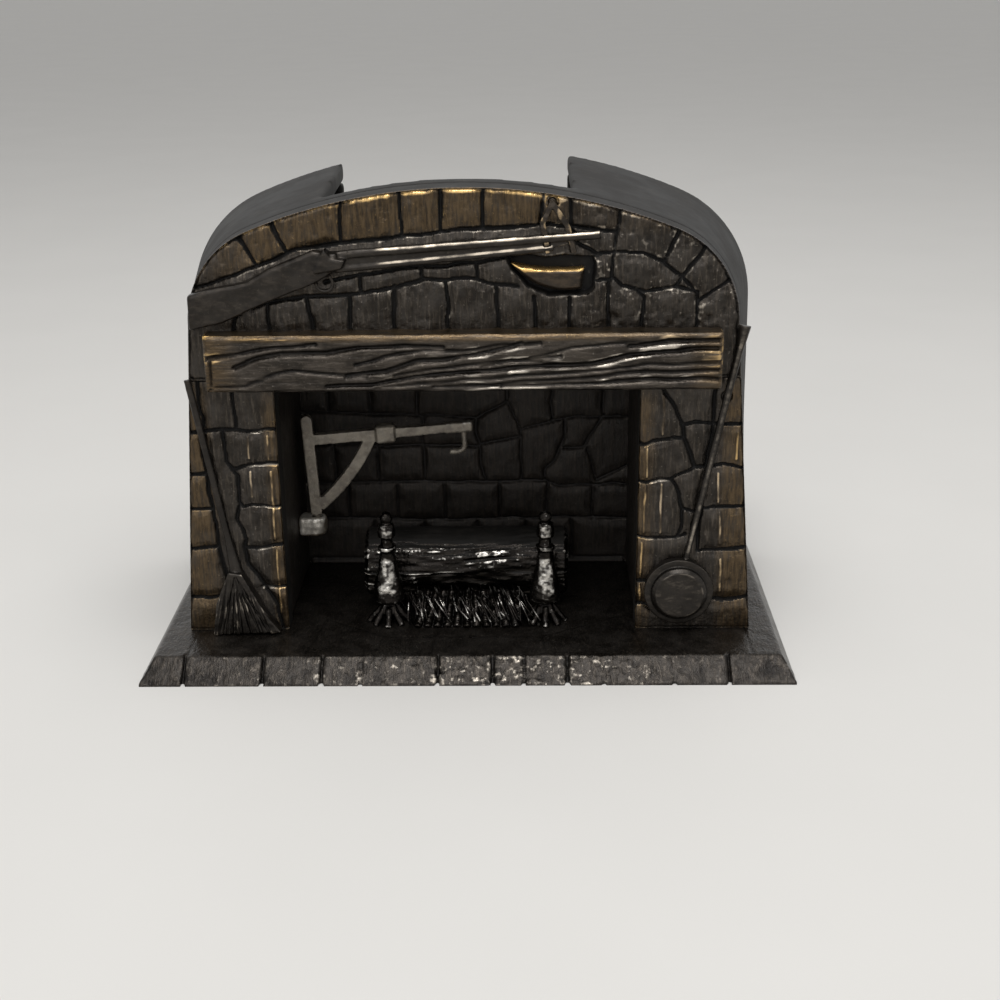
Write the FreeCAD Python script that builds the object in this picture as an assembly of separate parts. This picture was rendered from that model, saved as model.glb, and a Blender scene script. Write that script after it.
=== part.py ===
import FreeCAD, Part
import math
import os

from FreeCAD import Placement, Rotation, Vector

os.makedirs("parts", exist_ok=True)

# Hearth base: a bevelled slab with a kerb of stones along its front
base_width = 70.0
base_depth = 38.0
base_height = 2.2
base_side_inset = 1.4
base_front_inset = 2.9
kerb_joint_width = 0.35
kerb_joint_depth = 0.4
kerb_joint_shares = [0.068, 0.189, 0.279, 0.339, 0.456, 0.539, 0.587, 0.653, 0.708, 0.814, 0.898]

# Front outline: leaning piers under a three-centred arch
apron_depth = 10.0
panel_thickness = 2.4
front_foot_margin = 4.0
front_lean = 2.6
arch_height = 14.45
front_rise = 14.0
front_shoulder_radius = 10.5

# Rear outline: the shell flares towards the back
body_depth = 25.5
rear_foot_margin = 1.6
rear_lean = 0.3
rear_apex_step = 0.6
rear_rise = 17.9
rear_shoulder_radius = 14.0
shell_wall = 2.0

# Notch in the top of the shell, open to the rear
notch_left = 14.6
notch_right = 11.4
notch_setback = 5.0
notch_depth = 7.4

# Fire opening and the firebox behind it
left_pier_width = 11.0
right_pier_width = 12.6
opening_rise = 0.7
firebox_back_gap = 3.8
cheek_reveal = 0.15
cheek_wall = 1.4
back_wall = 1.5
back_foot_strip = 0.6
shelf_wall = 1.6

# Mantel beam
mantel_end_inset = 4.4
mantel_height = 6.05
mantel_bottom = 30.3
mantel_proud = 2.35
mantel_edge = 0.35
mantel_peg_radius = 0.8
mantel_peg_length = 1.4
mantel_peg_inset = 8.6

# Raised stones
mortar_gap = 0.24
stone_relief = 0.6
stone_bevel = 0.22
stone_edge_margin = 0.2
hearth_stone_relief = 0.35
hearth_stone_bevel = 0.15
voussoir_height = 3.7
voussoir_joint_angles = [141, 114.8, 109.4, 102.2, 96.1, 92.2, 87.7, 81.5, 76.6, 73.8, 67.8, 53.8, 34, 3]

# Pier stones: shares across the pier from the opening outwards, and up from the floor to the mantel
left_stone_shares = [
    [(0, 0), (0.68, 0), (0.68, 0.17), (0, 0.18)],
    [(0, 0.18), (0.68, 0.17), (0.68, 0.35), (0, 0.36)],
    [(0, 0.36), (0.68, 0.35), (0.66, 0.52), (0, 0.52)],
    [(0, 0.52), (0.43, 0.52), (0.43, 0.69), (0, 0.69)],
    [(0.43, 0.52), (0.66, 0.52), (0.66, 0.69), (0.43, 0.69)],
    [(0, 0.69), (0.66, 0.69), (0.66, 0.83), (0, 0.83)],
    [(0, 0.83), (0.45, 0.83), (0.45, 1), (0, 1)],
    [(0.45, 0.83), (0.68, 0.83), (0.68, 1), (0.45, 1)],
    [(0.68, 0), (1, 0), (1, 0.14), (0.68, 0.15)],
    [(0.68, 0.15), (1, 0.14), (1, 0.33), (0.68, 0.35)],
    [(0.68, 0.35), (1, 0.33), (1, 0.51), (0.66, 0.52)],
    [(0.66, 0.52), (1, 0.51), (1, 0.65), (0.66, 0.65)],
    [(0.66, 0.65), (1, 0.65), (1, 0.82), (0.66, 0.82)],
    [(0.66, 0.82), (1, 0.82), (1, 1), (0.68, 1)],
]
right_stone_shares = [
    [(0, 0.78), (0.37, 0.79), (0.39, 0.83), (0.25, 1), (0, 1)],
    [(0, 0.62), (0.33, 0.63), (0.46, 0.66), (0.37, 0.79), (0, 0.78)],
    [(0, 0.39), (0.27, 0.38), (0.41, 0.40), (0.43, 0.51), (0.33, 0.63), (0, 0.62)],
    [(0, 0.19), (0.45, 0.19), (0.45, 0.34), (0.41, 0.40), (0.27, 0.38), (0, 0.39)],
    [(0, 0), (0.46, 0), (0.45, 0.19), (0, 0.19)],
    [(0.25, 1), (0.41, 0.83), (0.69, 0.84), (0.70, 1)],
    [(0.41, 0.83), (0.37, 0.79), (0.48, 0.66), (0.66, 0.67), (0.69, 0.84)],
    [(0.46, 0.66), (0.34, 0.62), (0.44, 0.50), (0.67, 0.52), (0.66, 0.67)],
    [(0.44, 0.50), (0.42, 0.40), (0.46, 0.34), (0.68, 0.34), (0.67, 0.52)],
    [(0.45, 0.34), (0.46, 0), (0.68, 0), (0.68, 0.34)],
    [(0.68, 0), (1, 0), (1, 0.13), (0.68, 0.13)],
    [(0.68, 0.13), (1, 0.13), (1, 0.33), (0.68, 0.33)],
    [(0.68, 0.34), (1, 0.33), (1, 0.52), (0.67, 0.52)],
    [(0.67, 0.52), (1, 0.52), (1, 0.67), (0.66, 0.67)],
    [(0.66, 0.67), (1, 0.67), (1, 0.84), (0.69, 0.84)],
    [(0.69, 0.84), (1, 0.84), (1, 1), (0.70, 1)],
]

# Arch panel stones: shares of the half width from the centre, and up from the mantel to the apex
course_joint_shares = [-0.83, -0.70, -0.56, -0.405, -0.243, -0.05, 0.12, 0.26, 0.387, 0.525, 0.644,
                       0.815]
course_top_shares = [0.16, 0.20, 0.25, 0.27, 0.34, 0.36, 0.29, 0.22, 0.22, 0.29, 0.26]
infill_stone_shares = [
    [(-0.40, 0.28), (-0.25, 0.28), (-0.25, 0.43), (-0.40, 0.41)],
    [(-0.245, 0.35), (-0.10, 0.36), (-0.10, 0.455), (-0.245, 0.435)],
    [(-0.10, 0.37), (0.05, 0.37), (0.05, 0.475), (-0.10, 0.455)],
    [(0.05, 0.37), (0.145, 0.36), (0.145, 0.50), (0.05, 0.475)],
    [(0.495, 0.36), (0.545, 0.36), (0.54, 0.52), (0.495, 0.52)],
    [(0.545, 0.33), (0.745, 0.29), (0.755, 0.36), (0.67, 0.465), (0.55, 0.50)],
]

# Firebox back stones: each course has its foot and head shares, then the shares of its upright joints
hearth_course_shares = [
    (0.02, 0.20, [0, 0.185, 0.366, 0.547, 0.70, 0.83, 1]),
    (0.20, 0.35, [0, 0.159, 0.314, 0.469, 0.598, 0.714, 0.805, 0.895, 1]),
    (0.35, 0.52, [0, 0.107, 0.224, 0.368, 0.539, 0.678, 0.779, 0.888, 1]),
    (0.52, 0.64, [0, 0.133, 0.262, 0.371, 0.52, 0.676, 0.805, 0.908, 1]),
    (0.64, 0.79, [0, 0.081, 0.257, 0.404, 0.525, 0.64, 0.766, 0.921, 1]),
    (0.79, 0.99, [0, 0.18, 0.33, 0.49, 0.62, 0.80, 1]),
]

# Studs that hold the trims to the stone front
stud_radius = 0.4
stud_length = 1.4
stud_clearance = 0.05
trim_rest_share = 0.6

# Musket: its outline in shares of its length, from the foot of the butt
musket_length = 42.4
musket_end_inset = 2.6
musket_lift = 0.25
musket_stock_thickness = 1.3
musket_stock_edge = 0.22
musket_barrel_radius = 0.46
musket_rod_radius = 0.38
musket_web_thickness = 0.45
musket_lock_thickness = 1.6
musket_guard_radius = 0.85
musket_guard_wire = 0.22
stock_outline_shares = [(0.007, 0), (0.092, 0.019), (0.175, 0.057), (0.245, 0.085), (0.316, 0.113),
                        (0.368, 0.142), (0.375, 0.185), (0.316, 0.193), (0.21, 0.151), (0.151, 0.118),
                        (0.057, 0.101), (0.009, 0.087)]
lock_outline_shares = [(0.318, 0.140), (0.385, 0.150), (0.395, 0.172), (0.36, 0.176), (0.345, 0.200),
                       (0.33, 0.170)]
barrel_shares = [(0.35, 0.178), (1, 0.223)]
ramrod_shares = [(0.345, 0.142), (0.889, 0.192)]
guard_centre_shares = (0.34, 0.112)
musket_stud_shares = [(0.09, 0.055), (0.30, 0.150)]

# Recess over the mantel with the powder horn, and the strap over it
recess_start = 32.8
recess_width = 9.4
recess_lift = 3.35
recess_height = 4.2
recess_depth = 0.8
horn_thickness = 1.4
horn_edge = 0.4
horn_tip_shares = (0.053, 0.83)
horn_top_shares = (0.436, 0.69)
horn_mouth_shares = (0.862, 0.70)
horn_heel_shares = (0.83, 0.16)
horn_belly_shares = (0.447, 0.19)
horn_stud_shares = (0.6, 0.45)
strap_width = 0.55
strap_thickness = 0.4
strap_rise = 5.4
strap_clearance = 0.08
strap_point_shares = [(0.468, 0.06), (0.404, 0.62), (0.51, 1), (0.67, 0.56), (0.745, 0.06)]

# Hearth broom on the left pier
broom_foot_inset = 6.6
broom_foot_lift = 0.1
broom_head_width = 7.4
broom_head_height = 7.4
broom_head_thickness = 1.5
broom_neck_radius = 0.75
broom_handle_radius = 0.38
broom_collar_inset = 5.0
broom_collar_height = 13.6
broom_tip_inset = 2.1
broom_tip_rise = 0.9
broom_groove_width = 0.22
broom_groove_depth = 0.3
broom_head_shares = [(-0.5, 0), (-0.43, 0.5), (-0.22, 1), (-0.02, 0.97), (0.28, 0.35), (0.5, 0.03)]
broom_neck_shares = (-0.12, 0.93)
broom_groove_shares = [-0.36, -0.22, -0.08, 0.06, 0.2, 0.34]
broom_stud_shares = [(-0.05, 0.3), (-0.12, 0.75)]

# Warming pan on the right pier
pan_inset = 8.0
pan_height = 7.0
pan_radius = 3.75
pan_depth = 1.0
pan_lid_radius = 3.0
pan_lid_rise = 0.9
pan_lid_edge = 0.4
pan_handle_root = 0.8
pan_handle_start_radius = 0.33
pan_handle_end_radius = 0.42
pan_cap_radius = 0.62
pan_tip_inset = 2.0
pan_tip_lift = 0.25
pan_cap_share = 0.86
pan_stud_share = 0.74

# Fire: andirons, log and kindling
andiron_left = 9.0
andiron_right = 8.5
andiron_setback = 2.0
andiron_height = 13.0
andiron_radius = 1.75
andiron_ball_radius = 0.72
andiron_profile_shares = [(0, 0.17), (0.55, 0.17), (0.91, 0.208), (0.86, 0.30), (0.62, 0.50), (0.48, 0.646),
                          (0.60, 0.66), (0.60, 0.69), (0.40, 0.70), (0.38, 0.765), (0.55, 0.78),
                          (0.56, 0.84), (0.46, 0.895), (0.2, 0.905), (0.2, 0.95), (0, 0.95)]
toe_reach = 2.3
toe_radius = 0.38
toe_hub_share = 0.2
toe_angles = [-80, -40, 0, 40, 80]
shank_length = 11.5
shank_width = 0.9
shank_height = 0.8
shank_lift = 0.3
log_left = 11.9
log_right = 11.1
log_radius = 3.9
log_setback = 8.2
log_flat = 0.4
log_chamfer = 0.4
kindling_gap = 0.15
kindling_top = 4.9
kindling_toe = 0.2
twig_radius = 0.42
twig_count = 11
twig_gather_share = 0.8

# Pot crane and the bracket that carries it
crane_standoff = 2.05
crane_wall_gap = 6.4
crane_lean_angle = 3.0
crane_rest_angle = 6.0
crane_lift = 0.2
bracket_top = 10.9
bracket_height = 2.3
bracket_radius = 1.2
bracket_stud_radius = 0.6
bracket_stud_length = 1.2
pin_radius = 0.45
pin_length = 1.7
pin_clearance = 0.04
pin_bottom_gap = 0.15
post_width = 1.3
post_height = 12.1
arm_height = 9.1
arm_length = 18.8
arm_depth = 1.25
arm_tip_depth = 0.95
crane_thickness = 1.0
collar_start = 7.7
collar_length = 2.3
collar_depth = 2.1
collar_thickness = 1.7
brace_foot = 0.5
brace_foot_reach = 0.9
brace_width = 1.35
brace_sag_share = 0.06
collar_edge = 0.22
hook_setback = 0.9
hook_wire = 0.22
hook_drop = 3.0
hook_bend = 0.8
hook_return = 0.9

# Pencil sharpener on the smoke shelf
sharpener_width = 15.0
sharpener_height = 12.0
sharpener_front_gap = 1.0
sharpener_flange = 4.0
sharpener_nose = 1.0
pencil_radius = 4.05
point_radius = 0.6
pencil_axis_rise = 6.0
pencil_hole_clearance = 0.45
blade_end_gap = 1.0
blade_width = 7.3
blade_thickness = 0.5
blade_sink = 0.35
blade_overhang = 0.4
blade_gap = 0.4
blade_screw_bite = 2.5
sharpener_screw_bite = 2.4

# Back plate and the bosses that take the screws
plate_thickness = 1.6
plate_clearance = 0.1
boss_height = 9.0
boss_reach = 4.5
boss_depth = 5.0
front_lug_drop = 0.3
rear_lug_lift = 3.0
lug_height = 4.5
lug_reach = 5.9
boss_hole_share = 0.45
lug_hole_share = 0.33
base_screw_share = 0.5
screw_radius = 0.8
screw_head_radius = 1.5
screw_head_height = 0.9
screw_slot_width = 0.35
screw_slot_depth = 0.4
screw_clearance = 0.05
screw_bite = 1.6
boss_bite = 3.0

# One overrun serves every cut, and one tolerance finds the edges in a plane
cut_overrun = 1.0
plane_tolerance = 0.000001

# Planes and places worked out from the sizes above
front_y = -base_depth / 2
face_y = front_y + apron_depth
stone_y = face_y - stone_relief
panel_back_y = face_y + panel_thickness
rear_y = face_y + body_depth
plate_y = rear_y - plate_thickness
back_y = plate_y - firebox_back_gap - back_wall
mantel_top = mantel_bottom + mantel_height
opening_top = mantel_bottom + opening_rise
front_apex_height = mantel_top + arch_height
rear_apex_height = front_apex_height + rear_apex_step
front_half_foot = base_width / 2 - front_foot_margin
front_half_spring = front_half_foot - front_lean
front_spring_height = front_apex_height - front_rise
rear_half_foot = base_width / 2 - rear_foot_margin
rear_half_spring = rear_half_foot - rear_lean
rear_spring_height = rear_apex_height - rear_rise
front_lug_bottom = front_spring_height - front_lug_drop
rear_lug_bottom = rear_spring_height + rear_lug_lift
notch_floor = rear_apex_height - notch_depth
opening_left = front_half_foot - left_pier_width
opening_right = front_half_foot - right_pier_width
mantel_half = front_half_foot - mantel_end_inset
musket_left = musket_end_inset - front_half_foot
recess_left = musket_left + recess_start
recess_right = recess_left + recess_width
recess_bottom = mantel_top + recess_lift
recess_top = recess_bottom + recess_height
musket_foot = mantel_top + musket_lift
broom_foot_x = broom_foot_inset - front_half_foot
broom_collar_x = broom_collar_inset - front_half_foot
broom_tip_x = broom_tip_inset - front_half_foot
broom_tip_height = mantel_bottom + broom_tip_rise
pan_x = front_half_foot - pan_inset
pan_tip_x = front_half_foot - pan_tip_inset
pan_tip_height = mantel_top + pan_tip_lift
cheek_left_x = -opening_left - cheek_reveal
cheek_right_x = opening_right + cheek_reveal
crane_x = cheek_left_x + crane_standoff
shelf_top = opening_top + shelf_wall
sharpener_x = (notch_right - notch_left) / 2
pencil_axis_z = shelf_top + pencil_axis_rise
shank_top = base_height + shank_lift + shank_height
andiron_y = face_y + andiron_setback
log_y = face_y + log_setback
log_z = shank_top + log_radius - log_flat
crane_y = back_y - crane_wall_gap
bracket_mid_z = bracket_top - bracket_height / 2
inward = Vector(0, -1, 0)
backward = Vector(0, 1, 0)
upward = Vector(0, 0, 1)
crane_foot = Vector(crane_x, crane_y, bracket_top + crane_lift)
crane_turn = Rotation(backward, -crane_lean_angle) * Rotation(upward, crane_rest_angle)
crane_place = Placement(crane_foot, crane_turn)
seat_y = plate_y - sharpener_flange
nose_y = panel_back_y + sharpener_front_gap
bore_length = seat_y - nose_y - sharpener_nose
blade_length = bore_length - blade_end_gap
blade_slope = math.degrees(math.atan2(pencil_radius - point_radius, bore_length))
blade_seat = Vector(sharpener_x, seat_y, pencil_axis_z + pencil_radius - blade_sink)
blade_place = Placement(blade_seat, Rotation(Vector(1, 0, 0), blade_slope))
blade_eye = Vector(blade_width / 2 + blade_overhang, -blade_length / 2, blade_thickness)
blade_screw_seat = blade_place.multVec(blade_eye)
blade_screw_way = blade_place.Rotation.multVec(-upward)
surround_screw_length = boss_depth + screw_bite
plate_screw_length = plate_thickness - screw_head_height + boss_bite
base_screw_length = base_height - screw_head_height + boss_bite
sharpener_screw_length = shelf_wall - screw_head_height + sharpener_screw_bite
blade_screw_length = blade_thickness + blade_screw_bite
front_outline = (front_half_foot, front_half_spring, front_spring_height,
                 front_apex_height, front_shoulder_radius)
rear_outline = (rear_half_foot, rear_half_spring, rear_spring_height,
                rear_apex_height, rear_shoulder_radius)


# Plain shapes

def block(x0, x1, y0, y1, z0, z1):
    return Part.makeBox(x1 - x0, y1 - y0, z1 - z0, Vector(x0, y0, z0))


def slab(y0, y1):
    tall = max(front_apex_height, rear_apex_height) + cut_overrun
    return block(-base_width, base_width, y0, y1, -cut_overrun, tall)


def rod(start, end, radius):
    along = end - start
    return Part.makeCylinder(radius, along.Length, start, along)


def taper(start, end, start_radius, end_radius):
    along = end - start
    return Part.makeCone(start_radius, end_radius, along.Length, start, along)


def face_wire(points, y):
    corners = [Vector(x, y, z) for x, z in points]
    return Part.makePolygon(corners + corners[:1])


def face_prism(points, y0, y1):
    return Part.Face(face_wire(points, y0)).extrude(Vector(0, y1 - y0, 0))


def side_prism(points, x0, x1):
    corners = [Vector(x0, y, z) for y, z in points]
    return Part.Face(Part.makePolygon(corners + corners[:1])).extrude(Vector(x1 - x0, 0, 0))


def band(start, end, width, y0, y1):
    along = Vector(end[0] - start[0], 0, end[1] - start[1]).normalize()
    side = Vector(-along.z, 0, along.x) * (width / 2)
    points = [(start[0] + side.x, start[1] + side.z), (end[0] + side.x, end[1] + side.z),
              (end[0] - side.x, end[1] - side.z), (start[0] - side.x, start[1] - side.z)]
    return face_prism(points, y0, y1)


def inset_outline(points, distance):
    corners = [Vector(x, 0, z) for x, z in points]
    turns = [last.x * corner.z - corner.x * last.z for last, corner in zip(corners[-1:] + corners, corners)]
    side = math.copysign(1, sum(turns))
    moved = []
    for i, corner in enumerate(corners):
        before = (corner - corners[i - 1]).normalize()
        after = (corners[(i + 1) % len(corners)] - corner).normalize()
        first = Vector(-before.z * side, 0, before.x * side)
        second = Vector(-after.z * side, 0, after.x * side)
        shift = (first + second) * (distance / (1 + first.dot(second)))
        moved.append((corner.x + shift.x, corner.z + shift.z))
    return moved


def stone(points, y, relief, bevel):
    foot = inset_outline(points, mortar_gap / 2)
    crown = inset_outline(foot, bevel)
    return Part.makeLoft([face_wire(foot, y), face_wire(crown, y - relief)], True, True)


def front_edges(shape, y):
    return [edge for edge in shape.Edges if all(abs(v.Point.y - y) < plane_tolerance for v in edge.Vertexes)]


# Arched outline

def arch_arcs(outline, inset):
    half = outline[1] - inset
    top = outline[3] - inset
    shoulder = outline[4] - inset
    rise = top - outline[2]
    reach = half - shoulder
    crown = (reach ** 2 + rise ** 2 - shoulder ** 2) / (2 * (rise - shoulder))
    meeting = math.atan2(crown - rise, reach)
    return reach, shoulder, crown, top, meeting


def arch_point(outline, inset, angle):
    reach, shoulder, crown, top, meeting = arch_arcs(outline, inset)
    if meeting <= angle <= math.pi - meeting:
        return crown * math.cos(angle), top - crown + crown * math.sin(angle)
    side = 1 if angle < meeting else -1
    return side * reach + shoulder * math.cos(angle), outline[2] + shoulder * math.sin(angle)


def arch_wire(outline, inset, foot_z, y):
    meeting = arch_arcs(outline, inset)[-1]
    angles = [math.pi, math.pi - meeting / 2, math.pi - meeting, math.pi / 2, meeting, meeting / 2, 0]
    places = [arch_point(outline, inset, angle) for angle in angles]
    points = [Vector(x, y, z) for x, z in places]
    left_foot = Vector(inset - outline[0], y, foot_z)
    right_foot = Vector(outline[0] - inset, y, foot_z)
    edges = [Part.LineSegment(left_foot, points[0]),
             Part.Arc(points[0], points[1], points[2]),
             Part.Arc(points[2], points[3], points[4]),
             Part.Arc(points[4], points[5], points[6]),
             Part.LineSegment(points[6], right_foot),
             Part.LineSegment(right_foot, left_foot)]
    return Part.Wire([edge.toShape() for edge in edges])


def arch_body(inset, foot_z):
    front = arch_wire(front_outline, inset, foot_z, face_y)
    rear = arch_wire(rear_outline, inset, foot_z, rear_y)
    return Part.makeLoft([front, rear], True, True)


# Screws

def screw(seat, direction, length):
    head = Part.makeCylinder(screw_head_radius, screw_head_height, Vector(0, 0, -screw_head_height))
    shank = Part.makeCylinder(screw_radius, length)
    reach = screw_head_radius + cut_overrun
    slot = block(-reach, reach, -screw_slot_width / 2, screw_slot_width / 2,
                 -screw_head_height - cut_overrun, screw_slot_depth - screw_head_height)
    whole = head.fuse(shank).cut(slot)
    whole.Placement = Placement(seat, Rotation(Vector(0, 0, 1), direction))
    return whole


def screw_hole(seat, direction, length):
    start = seat - direction * cut_overrun
    end = seat + direction * (length + screw_clearance)
    return rod(start, end, screw_radius + screw_clearance)


def screw_sink(seat, direction):
    start = seat - direction * (screw_head_height + cut_overrun)
    return rod(start, seat, screw_head_radius + screw_clearance)


def boss_places(outline, lug_bottom):
    low_x = outline[0] - shell_wall - boss_reach * (1 - boss_hole_share)
    high_x = outline[1] - shell_wall - lug_reach * (1 - lug_hole_share)
    low_z = base_height + boss_height - screw_head_radius
    high_z = lug_bottom + lug_height / 2
    return [(side * x, z) for side in (-1, 1) for x, z in ((low_x, low_z), (high_x, high_z))]


def surround_screw_seats():
    return [Vector(x, panel_back_y + boss_depth, z) for x, z in boss_places(front_outline, front_lug_bottom)]


def plate_screw_seats():
    return [Vector(x, rear_y - screw_head_height, z) for x, z in boss_places(rear_outline, rear_lug_bottom)]


def base_screw_seats():
    low_front = boss_places(front_outline, front_lug_bottom)[::2]
    low_rear = boss_places(rear_outline, rear_lug_bottom)[::2]
    front_place = panel_back_y + boss_depth * base_screw_share
    rear_place = plate_y - boss_depth * base_screw_share
    places = [(x, front_place) for x, z in low_front] + [(x, rear_place) for x, z in low_rear]
    return [Vector(x, y, screw_head_height) for x, y in places]


# Stud places of the trims

def musket_place(shares):
    return musket_left + musket_length * shares[0], musket_foot + musket_length * shares[1]


def recess_place(shares):
    return (recess_left + (recess_right - recess_left) * shares[0],
            recess_bottom + (recess_top - recess_bottom) * shares[1])


def strap_place(shares):
    return recess_left + (recess_right - recess_left) * shares[0], recess_top + strap_rise * shares[1]


def broom_place(shares):
    return (broom_foot_x + broom_head_width * shares[0],
            base_height + broom_foot_lift + broom_head_height * shares[1])


def pan_handle_place(share):
    return pan_x + (pan_tip_x - pan_x) * share, pan_height + (pan_tip_height - pan_height) * share


musket_studs = [musket_place(shares) for shares in musket_stud_shares]
horn_studs = [recess_place(horn_stud_shares)]
strap_studs = [strap_place(strap_point_shares[2])]
broom_studs = [broom_place(shares) for shares in broom_stud_shares]
pan_studs = [(pan_x, pan_height), pan_handle_place(pan_stud_share)]


def stud(place, seat_y):
    x, z = place
    return rod(Vector(x, seat_y, z), Vector(x, seat_y + stud_length, z), stud_radius)


def stud_hole(place, seat_y):
    x, z = place
    start = Vector(x, seat_y - cut_overrun, z)
    end = Vector(x, seat_y + stud_length + stud_clearance, z)
    return rod(start, end, stud_radius + stud_clearance)


def mantel_peg_places():
    reach = mantel_half - mantel_peg_inset
    return [(side * reach, (opening_top + mantel_top) / 2) for side in (-1, 1)]


# Stone front and base

def hearth_base():
    half = base_width / 2
    top_half = half - base_side_inset
    top_front = front_y + base_front_inset
    wires = []
    for side, y, z in ((half, front_y, 0), (top_half, top_front, base_height)):
        corners = [Vector(-side, y, z), Vector(side, y, z),
                   Vector(side, -front_y, z), Vector(-side, -front_y, z)]
        wires.append(Part.makePolygon(corners + corners[:1]))
    base = Part.makeLoft(wires, True, True)
    slope = math.hypot(base_front_inset, base_height)
    along_y = base_front_inset / slope
    along_z = base_height / slope
    start = -cut_overrun
    end = slope + cut_overrun
    corners = [(start, -cut_overrun), (end, -cut_overrun), (end, kerb_joint_depth), (start, kerb_joint_depth)]
    profile = []
    for run, sink in corners:
        profile.append((front_y + run * along_y + sink * along_z, run * along_z - sink * along_y))
    joints = []
    for share in kerb_joint_shares:
        x = base_width * share - half
        joints.append(side_prism(profile, x - kerb_joint_width / 2, x + kerb_joint_width / 2))
    for seat in base_screw_seats():
        joints.append(screw_hole(seat, upward, base_screw_length))
        joints.append(screw_sink(seat, upward))
    return base.cut(joints)


def pier_place(inner, side, shares):
    z = base_height + (mantel_bottom - base_height) * shares[1]
    lean = (front_half_foot - front_half_spring) * (z - base_height) / (front_spring_height - base_height)
    outer = side * (front_half_foot - lean - stone_edge_margin)
    return inner + (outer - inner) * shares[0], z


def pier(inner, side, stone_shares, trim_studs):
    outer = side * base_width
    left, right = sorted((inner, outer))
    body = arch_body(0, base_height)
    body = body.common(block(left, right, face_y, panel_back_y, base_height, opening_top))
    stones = []
    for outline in stone_shares:
        points = [pier_place(inner, side, shares) for shares in outline]
        stones.append(stone(points, face_y, stone_relief, stone_bevel))
    body = body.multiFuse(stones)
    cuts = [stud_hole(place, stone_y) for place in trim_studs if place[1] < opening_top]
    cuts += [screw_hole(seat, inward, surround_screw_length) for seat in surround_screw_seats()[::2]]
    return body.cut(cuts)


def arch_place(shares):
    return front_half_spring * shares[0], mantel_top + (front_apex_height - mantel_top) * shares[1]


def voussoir(first_angle, last_angle):
    angles = [math.radians(first_angle + (last_angle - first_angle) * step / 2) for step in range(3)]
    outer = [arch_point(front_outline, stone_edge_margin, angle) for angle in angles]
    inner = [arch_point(front_outline, stone_edge_margin + voussoir_height, angle) for angle in angles]
    return outer + inner[::-1]


def arch_stones():
    joint_angles = zip(voussoir_joint_angles, voussoir_joint_angles[1:])
    outlines = [voussoir(first, last) for first, last in joint_angles]
    course = zip(course_joint_shares, course_joint_shares[1:], course_top_shares)
    course_shares = [[(left, 0), (right, 0), (right, top), (left, top)] for left, right, top in course]
    for outline in course_shares + infill_stone_shares:
        outlines.append([arch_place(shares) for shares in outline])
    return [stone(points, face_y, stone_relief, stone_bevel) for points in outlines]


def arch_panel():
    body = arch_body(0, base_height)
    body = body.common(block(-base_width, base_width, face_y, panel_back_y, opening_top, base_width))
    body = body.multiFuse(arch_stones())
    floor_y = face_y + recess_depth
    high_studs = [place for place in musket_studs + strap_studs + pan_studs if place[1] > opening_top]
    cuts = [block(recess_left, recess_right, stone_y - cut_overrun, floor_y, recess_bottom, recess_top)]
    cuts += [stud_hole(place, stone_y) for place in high_studs]
    cuts += [stud_hole(place, floor_y) for place in horn_studs]
    cuts += [screw_hole(seat, inward, surround_screw_length) for seat in surround_screw_seats()[1::2]]
    for x, z in mantel_peg_places():
        start = Vector(x, face_y - cut_overrun, z)
        end = Vector(x, face_y + mantel_peg_length + stud_clearance, z)
        cuts.append(rod(start, end, mantel_peg_radius + stud_clearance))
    return body.cut(cuts)


def mantel_beam():
    beam_front = stone_y - mantel_proud
    beam = block(-mantel_half, mantel_half, beam_front, face_y, mantel_bottom, mantel_top)
    beam = beam.makeChamfer(mantel_edge, front_edges(beam, beam_front))
    pegs = []
    for x, z in mantel_peg_places():
        pegs.append(rod(Vector(x, face_y, z), Vector(x, face_y + mantel_peg_length, z), mantel_peg_radius))
    return beam.multiFuse(pegs)


# Shell, firebox and back plate

def shell_bosses():
    shapes = []
    front_end = (front_outline, front_lug_bottom, panel_back_y, panel_back_y + boss_depth)
    rear_end = (rear_outline, rear_lug_bottom, plate_y - boss_depth, plate_y)
    for outline, lug_bottom, y0, y1 in (front_end, rear_end):
        low = outline[0] - shell_wall - boss_reach
        high = outline[1] - shell_wall - lug_reach
        for side in (-1, 1):
            for inner, z0, tall in ((low, base_height, boss_height), (high, lug_bottom, lug_height)):
                left, right = sorted((side * inner, side * base_width))
                shapes.append(block(left, right, y0, y1, z0, z0 + tall))
    limit = arch_body(shell_wall / 2, base_height)
    return [shape.common(limit) for shape in shapes]


def rear_shell():
    shell = arch_body(0, base_height).common(slab(panel_back_y, rear_y))
    shell = shell.cut(arch_body(shell_wall, base_height - cut_overrun))
    shell = shell.multiFuse(shell_bosses())
    cuts = [block(-notch_left, notch_right, face_y + notch_setback, rear_y + cut_overrun,
                  notch_floor, rear_apex_height + cut_overrun)]
    cuts += [screw_hole(seat, inward, surround_screw_length) for seat in surround_screw_seats()]
    cuts += [screw_hole(seat, inward, plate_screw_length) for seat in plate_screw_seats()]
    cuts += [screw_hole(seat, upward, base_screw_length) for seat in base_screw_seats()]
    return shell.cut(cuts)


def left_cheek():
    cheek = block(cheek_left_x - cheek_wall, cheek_left_x, panel_back_y, back_y, base_height, opening_top)
    start = Vector(cheek_left_x + cut_overrun, crane_y, bracket_mid_z)
    end = Vector(cheek_left_x - bracket_stud_length - stud_clearance, crane_y, bracket_mid_z)
    return cheek.cut(rod(start, end, bracket_stud_radius + stud_clearance))


def right_cheek():
    return block(cheek_right_x, cheek_right_x + cheek_wall, panel_back_y, back_y, base_height, opening_top)


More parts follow.
